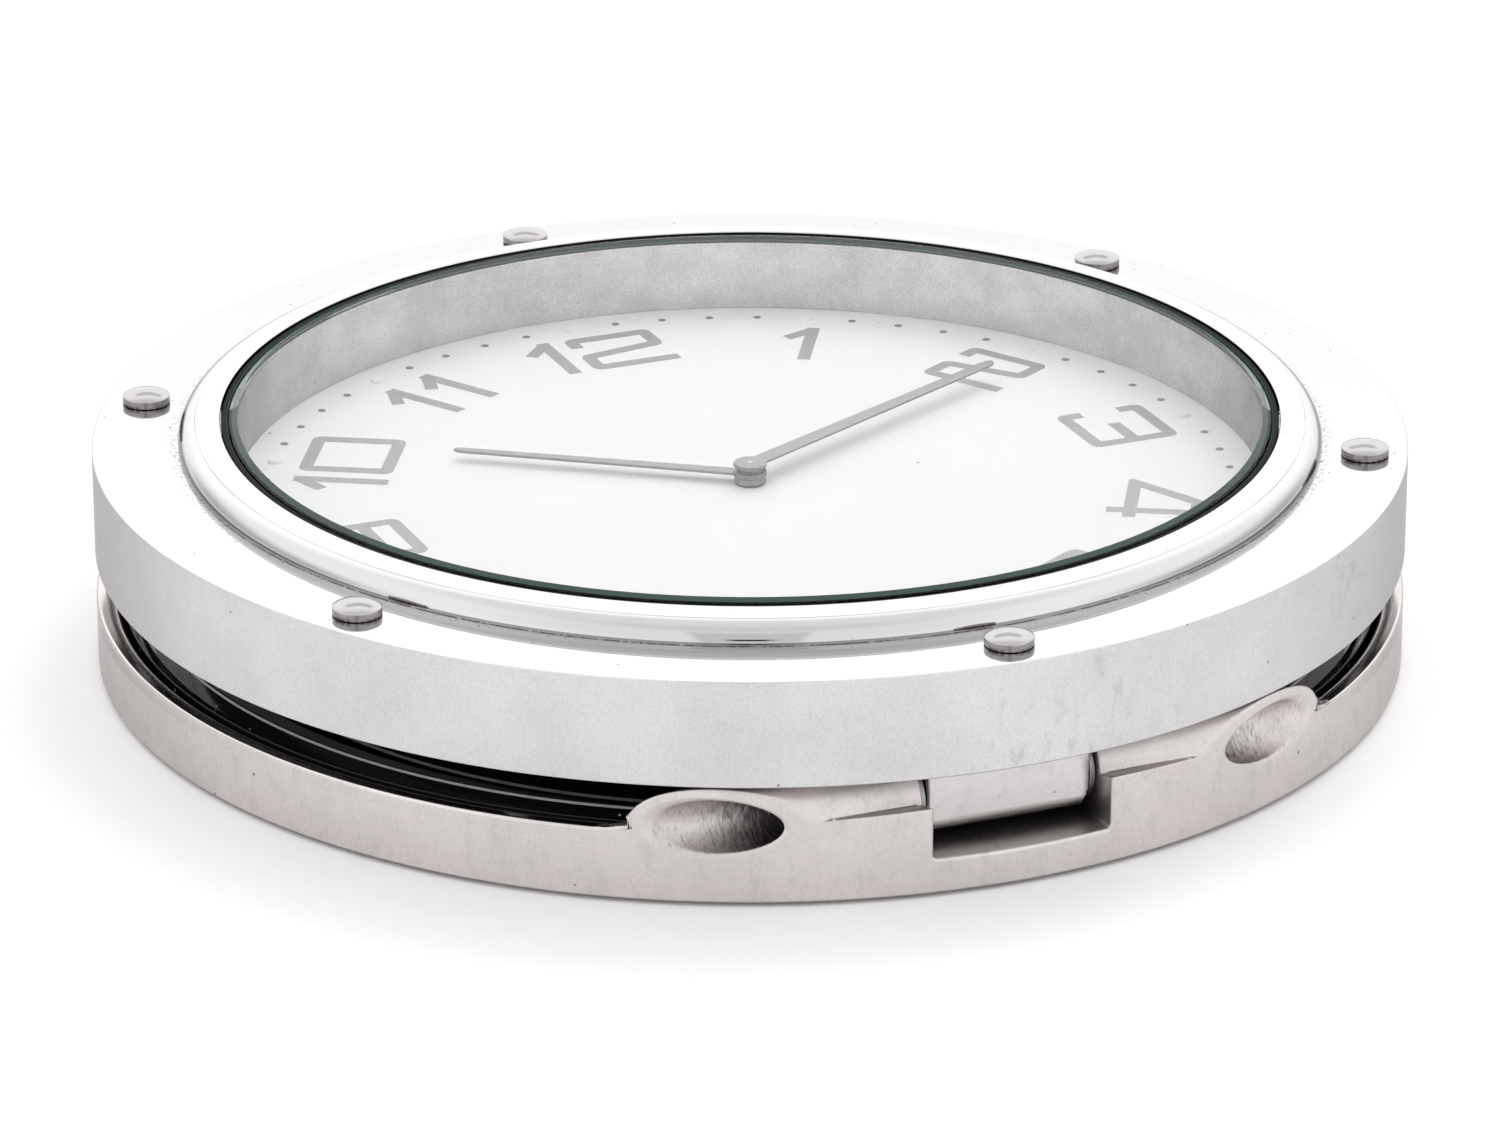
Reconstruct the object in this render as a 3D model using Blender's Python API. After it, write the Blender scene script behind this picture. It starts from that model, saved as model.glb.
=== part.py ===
"""Desk clock: a heavy round steel case that tilts on a steel base, with a quartz movement.

Row frame: origin on the table under the middle of the base, +Z up, 12 o'clock towards +Y,
so that the hinge lies at 6 o'clock, towards -Y, with its pin along X.
"""
import math
import bpy
import bmesh
from mathutils import Matrix, Vector

for leftover in list(bpy.data.objects):
    bpy.data.objects.remove(leftover, do_unlink=True)

MM = 0.001

# Fits between pieces
press_gap = 0.03 * MM       # pieces pushed together for good
run_gap = 0.04 * MM         # a journal in its bearing
seat_gap = 0.10 * MM        # one face resting on another
free_gap = 0.15 * MM        # wheels and blades passing each other
overrun = 1.0 * MM          # how far a cut runs past the solid
weld_gap = 0.001 * MM       # points of a spun shape that are one point

# Case ring: the flat steel flange that carries everything above the hinge
case_radius = 45.0 * MM
case_height = 7.33 * MM
case_edge = 0.15 * MM

# Base dish
base_height = 5.11 * MM
base_floor = 1.0 * MM
rim_width = 1.7 * MM
rim_round = 0.35 * MM
rim_drop = 0.10 * MM
foot_edge = 0.20 * MM
pad_stand = 0.25 * MM
pad_thickness = 0.65 * MM
pad_margin = 5.2 * MM

# Hinge at 6 o'clock
pin_setback = 4.8 * MM
pin_radius = 1.25 * MM
pin_length = 25.0 * MM
pin_recess = 0.20 * MM
boss_radius = 2.65 * MM
boss_clearance = 0.10 * MM
bore_radius = 1.8 * MM
ledge_height = 0.24 * MM
ledge_slope_share = 0.27
notch_width = 12.5 * MM
notch_clearance = 0.58 * MM
knuckle_radius = 2.25 * MM
knuckle_clearance = 0.30 * MM
washer_thickness = 0.40 * MM
washer_radius = 2.1 * MM
washer_play = 0.06 * MM
tenon_radius = 0.9 * MM
tenon_length = 3.0 * MM
tenon_spread = 7.0 * MM

# Liner and cushions in the dish
liner_thickness = 0.75 * MM
liner_groove_inset = 0.90 * MM
liner_groove_drop = 0.56 * MM
liner_ridge_inset = 1.80 * MM
liner_ridge_rise = 0.04 * MM
liner_edge_drop = 0.16 * MM
liner_slope_inset = 3.70 * MM
liner_slope_width = 0.70 * MM
liner_slope_drop = 0.51 * MM
liner_screw_inset = 12.0 * MM
liner_screw_head = 1.6 * MM
liner_screw_radius = 0.8 * MM
liner_screw_floor = 0.20 * MM
liner_screw_count = 3
cushion_inset = 7.0 * MM
cushion_radius = 2.2 * MM
cushion_height = 0.90 * MM
cushion_count = 3

# Rear cover and its seal
cover_step = 0.90 * MM
cover_wall = 1.9 * MM
cover_floor = 1.0 * MM
cover_edge = 0.30 * MM
cover_flange = 3.9 * MM
cover_lip = 0.90 * MM
cover_spigot = 0.97 * MM
cover_screw_reach = 2.4 * MM
cover_screw_radius = 0.7 * MM
cover_screw_head = 1.3 * MM
cover_screw_head_height = 0.55 * MM
cover_screw_length = 4.0 * MM
cover_screw_count = 4
seal_width = 0.7 * MM
seal_height = 0.6 * MM
seal_inset = 0.85 * MM
seal_groove_play = 0.15 * MM

# Bezel, glass and seal
bezel_lap = 0.15 * MM
bezel_width = 2.90 * MM
bezel_flank_width = 1.52 * MM
bezel_shoulder_rise = 1.28 * MM
bezel_rise = 1.61 * MM
bezel_skirt = 0.15 * MM
bezel_seat_gap = 0.05 * MM
spigot_inset = 0.85 * MM
spigot_width = 0.8 * MM
spigot_depth = 1.1 * MM
spigot_play = 0.10 * MM
glass_thickness = 1.1 * MM
glass_bevel_width = 0.55 * MM
glass_bevel_drop = 0.30 * MM
glass_rise = 1.74 * MM
gasket_wall = 0.43 * MM
gasket_lap = 0.32 * MM
gasket_foot = 0.20 * MM
gasket_upstand = 0.85 * MM

# Bezel screws
screw_head_radius = 1.63 * MM
screw_head_wall = 0.62 * MM
screw_head_dome = 0.26 * MM
screw_head_round = 0.22 * MM
screw_under_gap = 0.08 * MM
screw_radius = 0.8 * MM
screw_length = 3.0 * MM
screw_count = 6

# Dial and hands
dial_thickness = 0.50 * MM
dial_play = 0.12 * MM
hub_wall = 0.09 * MM
hub_flare = 0.15 * MM
minute_tip_gap = 8.7 * MM
hour_tip_gap = 5.6 * MM
hour_width = 1.05 * MM
hour_tip_width = 0.65 * MM
hour_blade_height = 0.62 * MM
minute_width = 1.30 * MM
minute_tip_width = 0.85 * MM
hand_step = 0.65 * MM
blade_thickness = 0.20 * MM
arbor_tip_radius = 0.20 * MM
arbor_tip_rise = 0.08 * MM
minutes_shown = 10.6
hours_shown = 10

# Movement: plates and holder
plate_thickness = 0.8 * MM
plate_lap = 1.5 * MM
plate_drop = 1.7 * MM
holder_step = 0.9 * MM
bridge_thickness = 0.6 * MM
bridge_wall = 0.7 * MM
bridge_room = 1.25 * MM
bridge_gap = 0.4 * MM
bridge_lift = 0.3 * MM
movement_screw_radius = 0.45 * MM
movement_screw_head = 0.68 * MM
movement_screw_head_height = 0.4 * MM
movement_screw_count = 3

# Gear train: every wheel is named with its teeth and its size of tooth
train_module = 0.30 * MM
rotor_module = 0.25 * MM
cannon_module = 0.3125 * MM
hour_module = 0.25 * MM
centre_teeth = 30
intermediate_pinion_teeth = 6
intermediate_teeth = 36
rotor_pinion_teeth = 6
cannon_teeth = 8
minute_teeth = 24
minute_pinion_teeth = 8
hour_teeth = 32
setting_teeth = 16
addendum_share = 0.80
dedendum_share = 1.15
tooth_tip_share = 0.20
tooth_root_share = 0.56
wheel_thickness = 0.40 * MM
thin_wheel_thickness = 0.30 * MM
arbor_radius = 0.50 * MM
pivot_radius = 0.28 * MM
hour_tube_wall = 0.28 * MM
minute_post_radius = 0.30 * MM
intermediate_angle = math.radians(120)
rotor_angle = math.radians(153)
minute_wheel_angle = math.radians(-30)
setting_angle = math.radians(-60)

# Motor, cell, board and setting knob
rotor_magnet_radius = 1.4 * MM
rotor_magnet_height = 0.9 * MM
rotor_air_gap = 0.3 * MM
stator_thickness = 0.5 * MM
stator_rim = 0.7 * MM
stator_half = 4.6 * MM
stator_leg = 1.4 * MM
coil_radius = 0.90 * MM
coil_offset = 3.7 * MM
coil_overhang = 0.7 * MM
core_width = 0.8 * MM
core_thickness = 0.4 * MM
cell_radius = 5.8 * MM
cell_height = 2.05 * MM
cell_gap = 0.8 * MM
cell_cap_inset = 0.8 * MM
cell_angle = math.radians(228.6)
hatch_margin = 0.8 * MM
hatch_slot_length = 8.0 * MM
hatch_slot_width = 1.2 * MM
hatch_slot_depth = 0.3 * MM
board_gap = 1.86 * MM
board_edge_gap = 0.76 * MM
board_near = 0.4 * MM
board_far = 8.6 * MM
board_thickness = 0.5 * MM
crystal_radius = 0.70 * MM
crystal_length = 5.4 * MM
chip_radius = 1.7 * MM
chip_height = 0.7 * MM
chip_top_share = 0.8
chip_flank_share = 0.7
leaf_thickness = 0.15 * MM
leaf_width = 1.6 * MM
side_leaf_thickness = 0.25 * MM
side_leaf_height = 1.0 * MM
knob_radius = 4.0 * MM
knob_thickness = 0.45 * MM
knob_recess = 0.60 * MM
knob_stem = 0.80 * MM
knob_spindle = 0.50 * MM
knob_ribs = 16
knob_rib_depth = 0.20 * MM
knob_rib_share = 0.25

# Facets
ring_steps = 48
inner_steps = 40
plate_steps = 32
pin_steps = 20
head_steps = 12
screw_steps = 12
boss_arc_steps = 12
small_arc_steps = 4

# Radii, worked inwards from the case's rim past the hinge to the glass
base_radius = case_radius
rim_inner = base_radius - rim_width
pin_y = pin_setback - case_radius
seal_outer = -pin_y - knuckle_radius - knuckle_clearance
seal_inner = seal_outer - seal_width
case_bore = seal_inner - seal_inset
cover_radius = case_bore + cover_step
cover_lip_radius = cover_radius + cover_flange
cover_screw_circle = cover_radius + cover_screw_reach
cushion_circle = cover_radius - cushion_inset
liner_screw_circle = cover_radius - liner_screw_inset
bezel_inner = case_bore + bezel_lap
bezel_outer = bezel_inner + bezel_width
bezel_shoulder_radius = bezel_outer - bezel_flank_width
screw_circle = (case_radius + bezel_outer) / 2
spigot_inner = bezel_inner + spigot_inset
gasket_outer = bezel_inner - spigot_play
gasket_bore = gasket_outer - gasket_wall
glass_radius = gasket_bore - spigot_play
gasket_inner = glass_radius - gasket_lap
rehaut_inner = gasket_inner
rehaut_outer = case_bore - seat_gap
dial_radius = case_bore - seat_gap - seat_gap
holder_outer = dial_radius
minute_length = rehaut_inner - minute_tip_gap
hour_length = minute_length - hour_tip_gap

# Levels, worked upwards from the table through the movement to the glass
base_floor_bottom = pad_thickness + seat_gap
base_floor_top = base_floor_bottom + base_floor
liner_bottom = base_floor_top + seat_gap
liner_screw_low = base_floor_bottom + liner_screw_floor
liner_top = liner_bottom + liner_thickness
cover_bottom = liner_top + cushion_height
cover_inside = cover_bottom + cover_floor
bridge_bottom = cover_inside + bridge_lift
bridge_top = bridge_bottom + bridge_thickness
cell_bottom = bridge_top + free_gap
cell_top = cell_bottom + cell_height
leaf_bottom = cell_top + run_gap / 2
plate_bottom = leaf_bottom + leaf_thickness + press_gap
plate_top = plate_bottom + plate_thickness
dial_bottom = plate_top + plate_drop
dial_top = dial_bottom + dial_thickness
holder_bottom = plate_top + seat_gap
holder_top = dial_bottom - seat_gap
holder_shelf = holder_top - holder_step
movement_screw_top = (holder_bottom + 2 * holder_top) / 3
cover_rim_top = holder_shelf - seat_gap
case_bottom = cover_rim_top - cover_spigot
case_top = case_bottom + case_height
pin_height = case_bottom - boss_clearance - boss_radius
notch_floor = pin_height - knuckle_radius - notch_clearance
bore_start = pin_length / 2 + pin_recess
cover_lip_top = case_bottom - seat_gap
cover_lip_bottom = cover_lip_top - cover_lip
glass_top = case_top + glass_rise
glass_bottom = glass_top - glass_thickness
gasket_foot_top = glass_bottom - press_gap
gasket_foot_bottom = gasket_foot_top - gasket_foot
rehaut_bottom = dial_top + press_gap
rehaut_top = gasket_foot_bottom - seat_gap
minute_blade_height = hour_blade_height + hand_step

# Movement levels and places, which follow from the teeth, the cell and the coil
motion_low = plate_top + free_gap
motion_high = motion_low + wheel_thickness + free_gap
train_top = plate_bottom - free_gap - free_gap - free_gap
train_bottom = train_top - wheel_thickness
rotor_low = cell_bottom
coil_middle = bridge_top + free_gap + coil_radius
core_bottom = coil_middle - core_thickness / 2
core_top = core_bottom + core_thickness
stator_bottom = core_top + press_gap
stator_hole = rotor_magnet_radius + rotor_air_gap
stator_back = stator_hole + stator_rim
stator_reach = coil_offset + coil_overhang
board_top = cell_top - free_gap
board_bottom = board_top - board_thickness
hour_tube_radius = arbor_radius + seat_gap + hour_tube_wall
hub_neck_radius = hour_tube_radius + press_gap + hub_wall
hub_radius = hub_neck_radius + hub_flare
dial_hole = hour_tube_radius + dial_play
hatch_radius = cell_radius + hatch_margin
centre_wheel_radius = train_module * (centre_teeth / 2 + addendum_share)
cell_reach = centre_wheel_radius + cell_gap + cell_radius
bridge_inner = cell_reach + cell_radius + bridge_room
bridge_radius = bridge_inner + bridge_wall
holder_inner = bridge_radius + bridge_gap
plate_radius = holder_inner + plate_lap
movement_screw_circle = (holder_inner + plate_radius) / 2
board_left = centre_wheel_radius + board_gap
board_right = math.sqrt((bridge_inner - board_edge_gap) ** 2 - board_far ** 2)
centre_distance = train_module * (centre_teeth + intermediate_pinion_teeth) / 2
rotor_distance = rotor_module * (intermediate_teeth + rotor_pinion_teeth) / 2
motion_distance = cannon_module * (cannon_teeth + minute_teeth) / 2
setting_distance = cannon_module * (minute_teeth + setting_teeth) / 2


def polar(radius, angle, start=(0.0, 0.0)):
    """Point at a radius and an angle from a start point."""
    return start[0] + radius * math.cos(angle), start[1] + radius * math.sin(angle)


intermediate_at = polar(centre_distance, intermediate_angle)
rotor_at = polar(rotor_distance, rotor_angle, intermediate_at)
minute_wheel_at = polar(motion_distance, minute_wheel_angle)
setting_at = polar(setting_distance, setting_angle, minute_wheel_at)
cell_at = polar(cell_reach, cell_angle)
minute_hand_turn = -2 * math.pi * minutes_shown / 60
hour_hand_turn = -2 * math.pi * (hours_shown + minutes_shown / 60) / 12


def finish(name, colour, roughness, metallic, alpha=1.0):
    """Material with the colour, roughness and metallic value of the real surface."""
    material = bpy.data.materials.new(name)
    material.use_nodes = True
    shader = material.node_tree.nodes["Principled BSDF"]
    shader.inputs["Base Color"].default_value = (*colour, 1.0)
    shader.inputs["Roughness"].default_value = roughness
    shader.inputs["Metallic"].default_value = metallic
    shader.inputs["Alpha"].default_value = alpha
    return material


satin_steel = finish("satin_steel", (0.66, 0.65, 0.65), 0.34, 1.0)
base_steel = finish("base_steel", (0.62, 0.59, 0.58), 0.36, 1.0)
polished_steel = finish("polished_steel", (0.80, 0.80, 0.80), 0.08, 1.0)
pin_steel = finish("pin_steel", (0.50, 0.49, 0.48), 0.25, 1.0)
clear_glass = finish("clear_glass", (0.92, 0.97, 0.95), 0.02, 0.0, 0.2)
black_rubber = finish("black_rubber", (0.015, 0.015, 0.016), 0.60, 0.0)
black_plastic = finish("black_plastic", (0.012, 0.012, 0.014), 0.22, 0.0)
rehaut_metal = finish("rehaut_metal", (0.45, 0.45, 0.46), 0.45, 1.0)
dial_white = finish("dial_white", (0.86, 0.86, 0.86), 0.55, 0.0)
hand_metal = finish("hand_metal", (0.40, 0.40, 0.42), 0.40, 1.0)
grey_plastic = finish("grey_plastic", (0.35, 0.36, 0.37), 0.50, 0.0)
brass = finish("brass", (0.70, 0.52, 0.22), 0.30, 1.0)
copper_wire = finish("copper_wire", (0.62, 0.28, 0.12), 0.35, 1.0)
soft_iron = finish("soft_iron", (0.42, 0.42, 0.43), 0.38, 1.0)
magnet_grey = finish("magnet_grey", (0.16, 0.16, 0.17), 0.42, 1.0)
board_green = finish("board_green", (0.02, 0.16, 0.08), 0.45, 0.0)
cell_steel = finish("cell_steel", (0.72, 0.72, 0.70), 0.22, 1.0)
white_nylon = finish("white_nylon", (0.78, 0.77, 0.72), 0.50, 0.0)


def new_object(name, shape, material):
    """Object from a finished bmesh, smooth with sharp corners."""
    bmesh.ops.recalc_face_normals(shape, faces=shape.faces)
    mesh = bpy.data.meshes.new(name)
    shape.to_mesh(mesh)
    shape.free()
    mesh.materials.append(material)
    mesh.shade_smooth()
    mesh.set_sharp_from_angle(angle=math.radians(30))
    made = bpy.data.objects.new(name, mesh)
    bpy.context.scene.collection.objects.link(made)
    return made


def arc(centre, radius, start, end, steps):
    """Points of an arc from one angle to another, in degrees."""
    turns = [math.radians(start + (end - start) * i / steps) for i in range(steps + 1)]
    return [(centre[0] + radius * math.cos(t), centre[1] + radius * math.sin(t)) for t in turns]


def turned(name, profile, material, steps, at=(0.0, 0.0)):
    """Solid spun round an upright axis from (radius, height) points.

    Away from the clock's axis its facets are turned with its bearing, so that a screw and
    its hole lie the same way to the facets of the ring that they sit in.
    """
    turn = math.atan2(at[1], at[0]) + math.pi / steps if any(at) else 0.0
    shape = bmesh.new()
    points = [shape.verts.new((radius * math.cos(turn), radius * math.sin(turn), height))
              for radius, height in profile]
    pairs = list(zip(points, points[1:]))
    if profile[0][0] > 0:
        pairs.append((points[-1], points[0]))
    edges = [shape.edges.new(pair) for pair in pairs]
    bmesh.ops.spin(shape, geom=points + edges, cent=(0.0, 0.0, 0.0), axis=(0.0, 0.0, 1.0),
                   angle=2 * math.pi, steps=steps, use_merge=True)
    bmesh.ops.remove_doubles(shape, verts=shape.verts, dist=weld_gap)
    bmesh.ops.translate(shape, verts=shape.verts, vec=(at[0], at[1], 0.0))
    return new_object(name, shape, material)


def disc_profile(radius, low, high):
    """Profile of a plain disc or peg."""
    return [(0.0, low), (radius, low), (radius, high), (0.0, high)]


def ring_profile(inner, outer, low, high):
    """Profile of a plain ring or tube."""
    return [(inner, low), (outer, low), (outer, high), (inner, high)]


def extruded(name, outline, low, high, material):
    """Upright prism over an outline of (x, y) points."""
    shape = bmesh.new()
    floor = shape.faces.new([shape.verts.new((x, y, low)) for x, y in outline])
    grown = bmesh.ops.extrude_face_region(shape, geom=[floor])
    raised = [item for item in grown["geom"] if isinstance(item, bmesh.types.BMVert)]
    bmesh.ops.translate(shape, verts=raised, vec=(0.0, 0.0, high - low))
    return new_object(name, shape, material)


def lying(name, outline, left, right, material):
    """Prism along X over an outline of (y, z) points."""
    shape = bmesh.new()
    end = shape.faces.new([shape.verts.new((left, y, z)) for y, z in outline])
    grown = bmesh.ops.extrude_face_region(shape, geom=[end])
    moved = [item for item in grown["geom"] if isinstance(item, bmesh.types.BMVert)]
    bmesh.ops.translate(shape, verts=moved, vec=(right - left, 0.0, 0.0))
    return new_object(name, shape, material)


def lying_peg(name, radius, left, right, material):
    """Round peg along the hinge axis."""
    outline = arc((pin_y, pin_height), radius, 0, 360, pin_steps)[:-1]
    return lying(name, outline, left, right, material)


def box(name, low, high, material):
    """Straight box between two corners."""
    outline = [(low[0], low[1]), (high[0], low[1]), (high[0], high[1]), (low[0], high[1])]
    return extruded(name, outline, low[2], high[2], material)


def combine(target, tools, operation):
    """Cut the tools from a solid, or join them to it, and clear them away."""
    for tool in tools:
        tool.hide_render = True
        tool.display_type = 'WIRE'
        change = target.modifiers.new(tool.name, 'BOOLEAN')
        change.operation = operation
        change.solver = 'EXACT'
        change.object = tool
    graph = bpy.context.evaluated_depsgraph_get()
    made = bpy.data.meshes.new_from_object(target.evaluated_get(graph))
    target.modifiers.clear()
    rough, target.data = target.data, made
    bpy.data.meshes.remove(rough)
    for tool in tools:
        spare = tool.data
        bpy.data.objects.remove(tool, do_unlink=True)
        bpy.data.meshes.remove(spare)
    return target


def cut(target, *tools):
    return combine(target, tools, 'DIFFERENCE')


def join(target, *tools):
    return combine(target, tools, 'UNION')


def copy_of(source, name, turn):
    """Copy of a piece, turned about the clock's axis, with the same mesh."""
    made = source.copy()
    made.name = name
    bpy.context.scene.collection.objects.link(made)
    made.matrix_world = Matrix.Rotation(turn, 4, 'Z') @ source.matrix_world
    return made


def axis_empty(name, at):
    """Empty on a joint's axis, which carries the pieces that move with it."""
    empty = bpy.data.objects.new(name, None)
    empty.location = at
    bpy.context.scene.collection.objects.link(empty)
    bpy.context.view_layer.update()
    return empty


def carry(parent, *pieces):
    """Hang pieces on a parent where they are."""
    bpy.context.view_layer.update()
    for piece in pieces:
        piece.parent = parent
        piece.matrix_parent_inverse = parent.matrix_world.inverted()


def angles(count, first):
    """Evenly spaced angles round the clock, in radians."""
    return [math.radians(first) + 2 * math.pi * i / count for i in range(count)]


def tooth_outline(teeth, module):
    """Outline of a wheel with plain tapered teeth, the first tooth at +X."""
    pitch = 2 * math.pi / teeth
    middle = teeth * module / 2
    root = middle - dedendum_share * module
    tip = middle + addendum_share * module
    outline = []
    for i in range(teeth):
        outline.append(polar(root, pitch * (i - tooth_root_share / 2)))
        outline.append(polar(tip, pitch * (i - tooth_tip_share / 2)))
        outline.append(polar(tip, pitch * (i + tooth_tip_share / 2)))
        outline.append(polar(root, pitch * (i + tooth_root_share / 2)))
    return outline


def wheel(name, teeth, module, low, high, bore, material):
    """Toothed wheel on its own axis, with a bore if one is given."""
    made = extruded(name, tooth_outline(teeth, module), low, high, material)
    if bore:
        cut(made, turned("bore", disc_profile(bore, low - overrun, high + overrun), material, screw_steps))
    return made


def mesh_turn(own_teeth, other_teeth, other_turn, bearing):
    """Turn that puts a gap of one wheel over the facing tooth of the other."""
    facing = (bearing - other_turn) * other_teeth / own_teeth
    return bearing + math.pi + facing + math.pi / own_teeth


def make_base_dish():
    """Turned steel dish with the hinge block, its notch and its bores."""
    top = pin_height + boss_radius + overrun
    body = [(0.0, base_floor_bottom)]
    body += [(base_radius - pad_margin, base_floor_bottom), (base_radius - pad_margin, pad_stand)]
    body += [(base_radius - foot_edge, pad_stand), (base_radius, pad_stand + foot_edge)]
    body += [(base_radius, top), (0.0, top)]
    dish = turned("base_dish", body, base_steel, ring_steps)
    lip = arc((base_radius - rim_round, base_height - rim_round), rim_round, 90, 0, small_arc_steps)
    room = [(0.0, base_floor_top), (rim_inner, base_floor_top), (rim_inner, base_height - rim_drop)]
    room += lip + [(base_radius + overrun, base_height - rim_round)]
    room += [(base_radius + overrun, top + overrun), (0.0, top + overrun)]
    hollow = turned("room", room, base_steel, ring_steps)
    ledge_y = pin_y - math.sqrt(boss_radius ** 2 - ledge_height ** 2)
    ledge_end = math.degrees(math.atan2(ledge_height, ledge_y - pin_y))
    outer_y = -(base_radius + overrun + overrun)
    block = [(pin_y + boss_radius, pad_stand)]
    block += arc((pin_y, pin_height), boss_radius, 0, ledge_end, boss_arc_steps)
    rise = (ledge_y - outer_y) * ledge_slope_share
    block += [(outer_y, pin_height + ledge_height + rise), (outer_y, pad_stand)]
    cut(hollow, lying("block", block, -base_radius, base_radius, base_steel))
    cut(dish, hollow)
    notch = box("notch", (-notch_width / 2, outer_y, notch_floor),
                (notch_width / 2, pin_y + boss_radius + overrun, top + overrun), base_steel)
    pin_hole = lying_peg("pin_hole", pin_radius + press_gap, -base_radius, base_radius, base_steel)
    left_bore = lying_peg("left_bore", bore_radius, -base_radius, -bore_start, base_steel)
    right_bore = lying_peg("right_bore", bore_radius, bore_start, base_radius, base_steel)
    cut(dish, notch, pin_hole, left_bore, right_bore)
    low = liner_screw_low - seat_gap
    holes = [turned("hole", disc_profile(liner_screw_radius + press_gap, low, base_floor_top + overrun),
                    base_steel, screw_steps, polar(liner_screw_circle, turn))
             for turn in angles(liner_screw_count, 30)]
    return cut(dish, *holes)


def make_base_pad():
    """Rubber pad under the dish, on which the clock stands."""
    radius = base_radius - pad_margin - seat_gap
    return turned("base_pad", disc_profile(radius, 0.0, pad_thickness), black_rubber, inner_steps)


def make_liner():
    """Black moulded liner of the dish, cut straight behind the hinge block."""
    rim = rim_inner - seat_gap
    slope = rim_inner - liner_slope_inset
    profile = [(0.0, liner_bottom), (rim, liner_bottom), (rim, base_height - liner_edge_drop)]
    profile += [(rim_inner - liner_groove_inset, base_height - liner_groove_drop)]
    profile += [(rim_inner - liner_ridge_inset, base_height + liner_ridge_rise)]
    profile += [(slope, base_height - liner_slope_drop), (slope - liner_slope_width, liner_top)]
    profile += [(0.0, liner_top)]
    liner = turned("dish_liner", profile, black_plastic, inner_steps)
    chord = pin_y + boss_radius + free_gap
    block = box("block", (-base_radius, -base_radius - overrun, base_floor_bottom),
                (base_radius, chord, base_height + overrun), black_plastic)
    holes = []
    for turn in angles(liner_screw_count, 30):
        seat = [(0.0, liner_bottom - overrun), (liner_screw_radius + press_gap, liner_bottom - overrun)]
        seat += [(liner_screw_radius + press_gap, liner_bottom)]
        seat += [(liner_screw_head + press_gap, liner_top)]
        seat += [(liner_screw_head + press_gap, liner_top + overrun)]
        seat += [(0.0, liner_top + overrun)]
        holes.append(turned("seat", seat, black_plastic, screw_steps, polar(liner_screw_circle, turn)))
    return cut(liner, block, *holes)


def make_liner_screws():
    """Countersunk screws that hold the liner down."""
    profile = [(0.0, liner_screw_low), (liner_screw_radius, liner_screw_low)]
    profile += [(liner_screw_radius, liner_bottom + seat_gap), (liner_screw_head, liner_top)]
    profile += [(0.0, liner_top)]
    return [turned(f"liner_screw_{i + 1}", profile, pin_steel, screw_steps, polar(liner_screw_circle, turn))
            for i, turn in enumerate(angles(liner_screw_count, 30))]


def make_cushions():
    """Rubber buttons that the closed case rests on."""
    profile = disc_profile(cushion_radius, liner_top + run_gap, cover_bottom - run_gap)
    return [turned(f"rest_cushion_{i + 1}", profile, black_rubber, head_steps, polar(cushion_circle, turn))
            for i, turn in enumerate(angles(cushion_count, 90))]


def make_hinge_pin():
    """Steel pin through both lugs of the dish and the knuckle of the case."""
    return lying_peg("hinge_pin", pin_radius, -pin_length / 2, pin_length / 2, pin_steel)


def make_washers():
    """Nylon friction washers on both sides of the knuckle."""
    made = []
    for name, side in (("left", -1), ("right", 1)):
        outer = side * (notch_width / 2 - washer_play)
        left, right = sorted((outer, outer - side * washer_thickness))
        washer = lying_peg(f"hinge_washer_{name}", washer_radius, left, right, white_nylon)
        bore = lying_peg("bore", pin_radius + run_gap, left - overrun, right + overrun, white_nylon)
        made.append(cut(washer, bore))
    return made


def make_tongue():
    """Hinge tongue under the case ring, with its round knuckle on the pin."""
    half = notch_width / 2 - washer_thickness - 2 * washer_play
    top = case_bottom - press_gap
    outline = [(pin_y + knuckle_radius, top)]
    outline += arc((pin_y, pin_height), knuckle_radius, 0, -180, boss_arc_steps)
    outline += [(pin_y - knuckle_radius, top)]
    tongue = lying("hinge_tongue", outline, -half, half, satin_steel)
    tenons = [turned("tenon", disc_profile(tenon_radius, top - overrun, case_bottom + tenon_length),
                     satin_steel, screw_steps, (side * tenon_spread / 2, pin_y)) for side in (-1, 1)]
    join(tongue, *tenons)
    return cut(tongue, lying_peg("bore", pin_radius + run_gap, -half - overrun, half + overrun, satin_steel))


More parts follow.
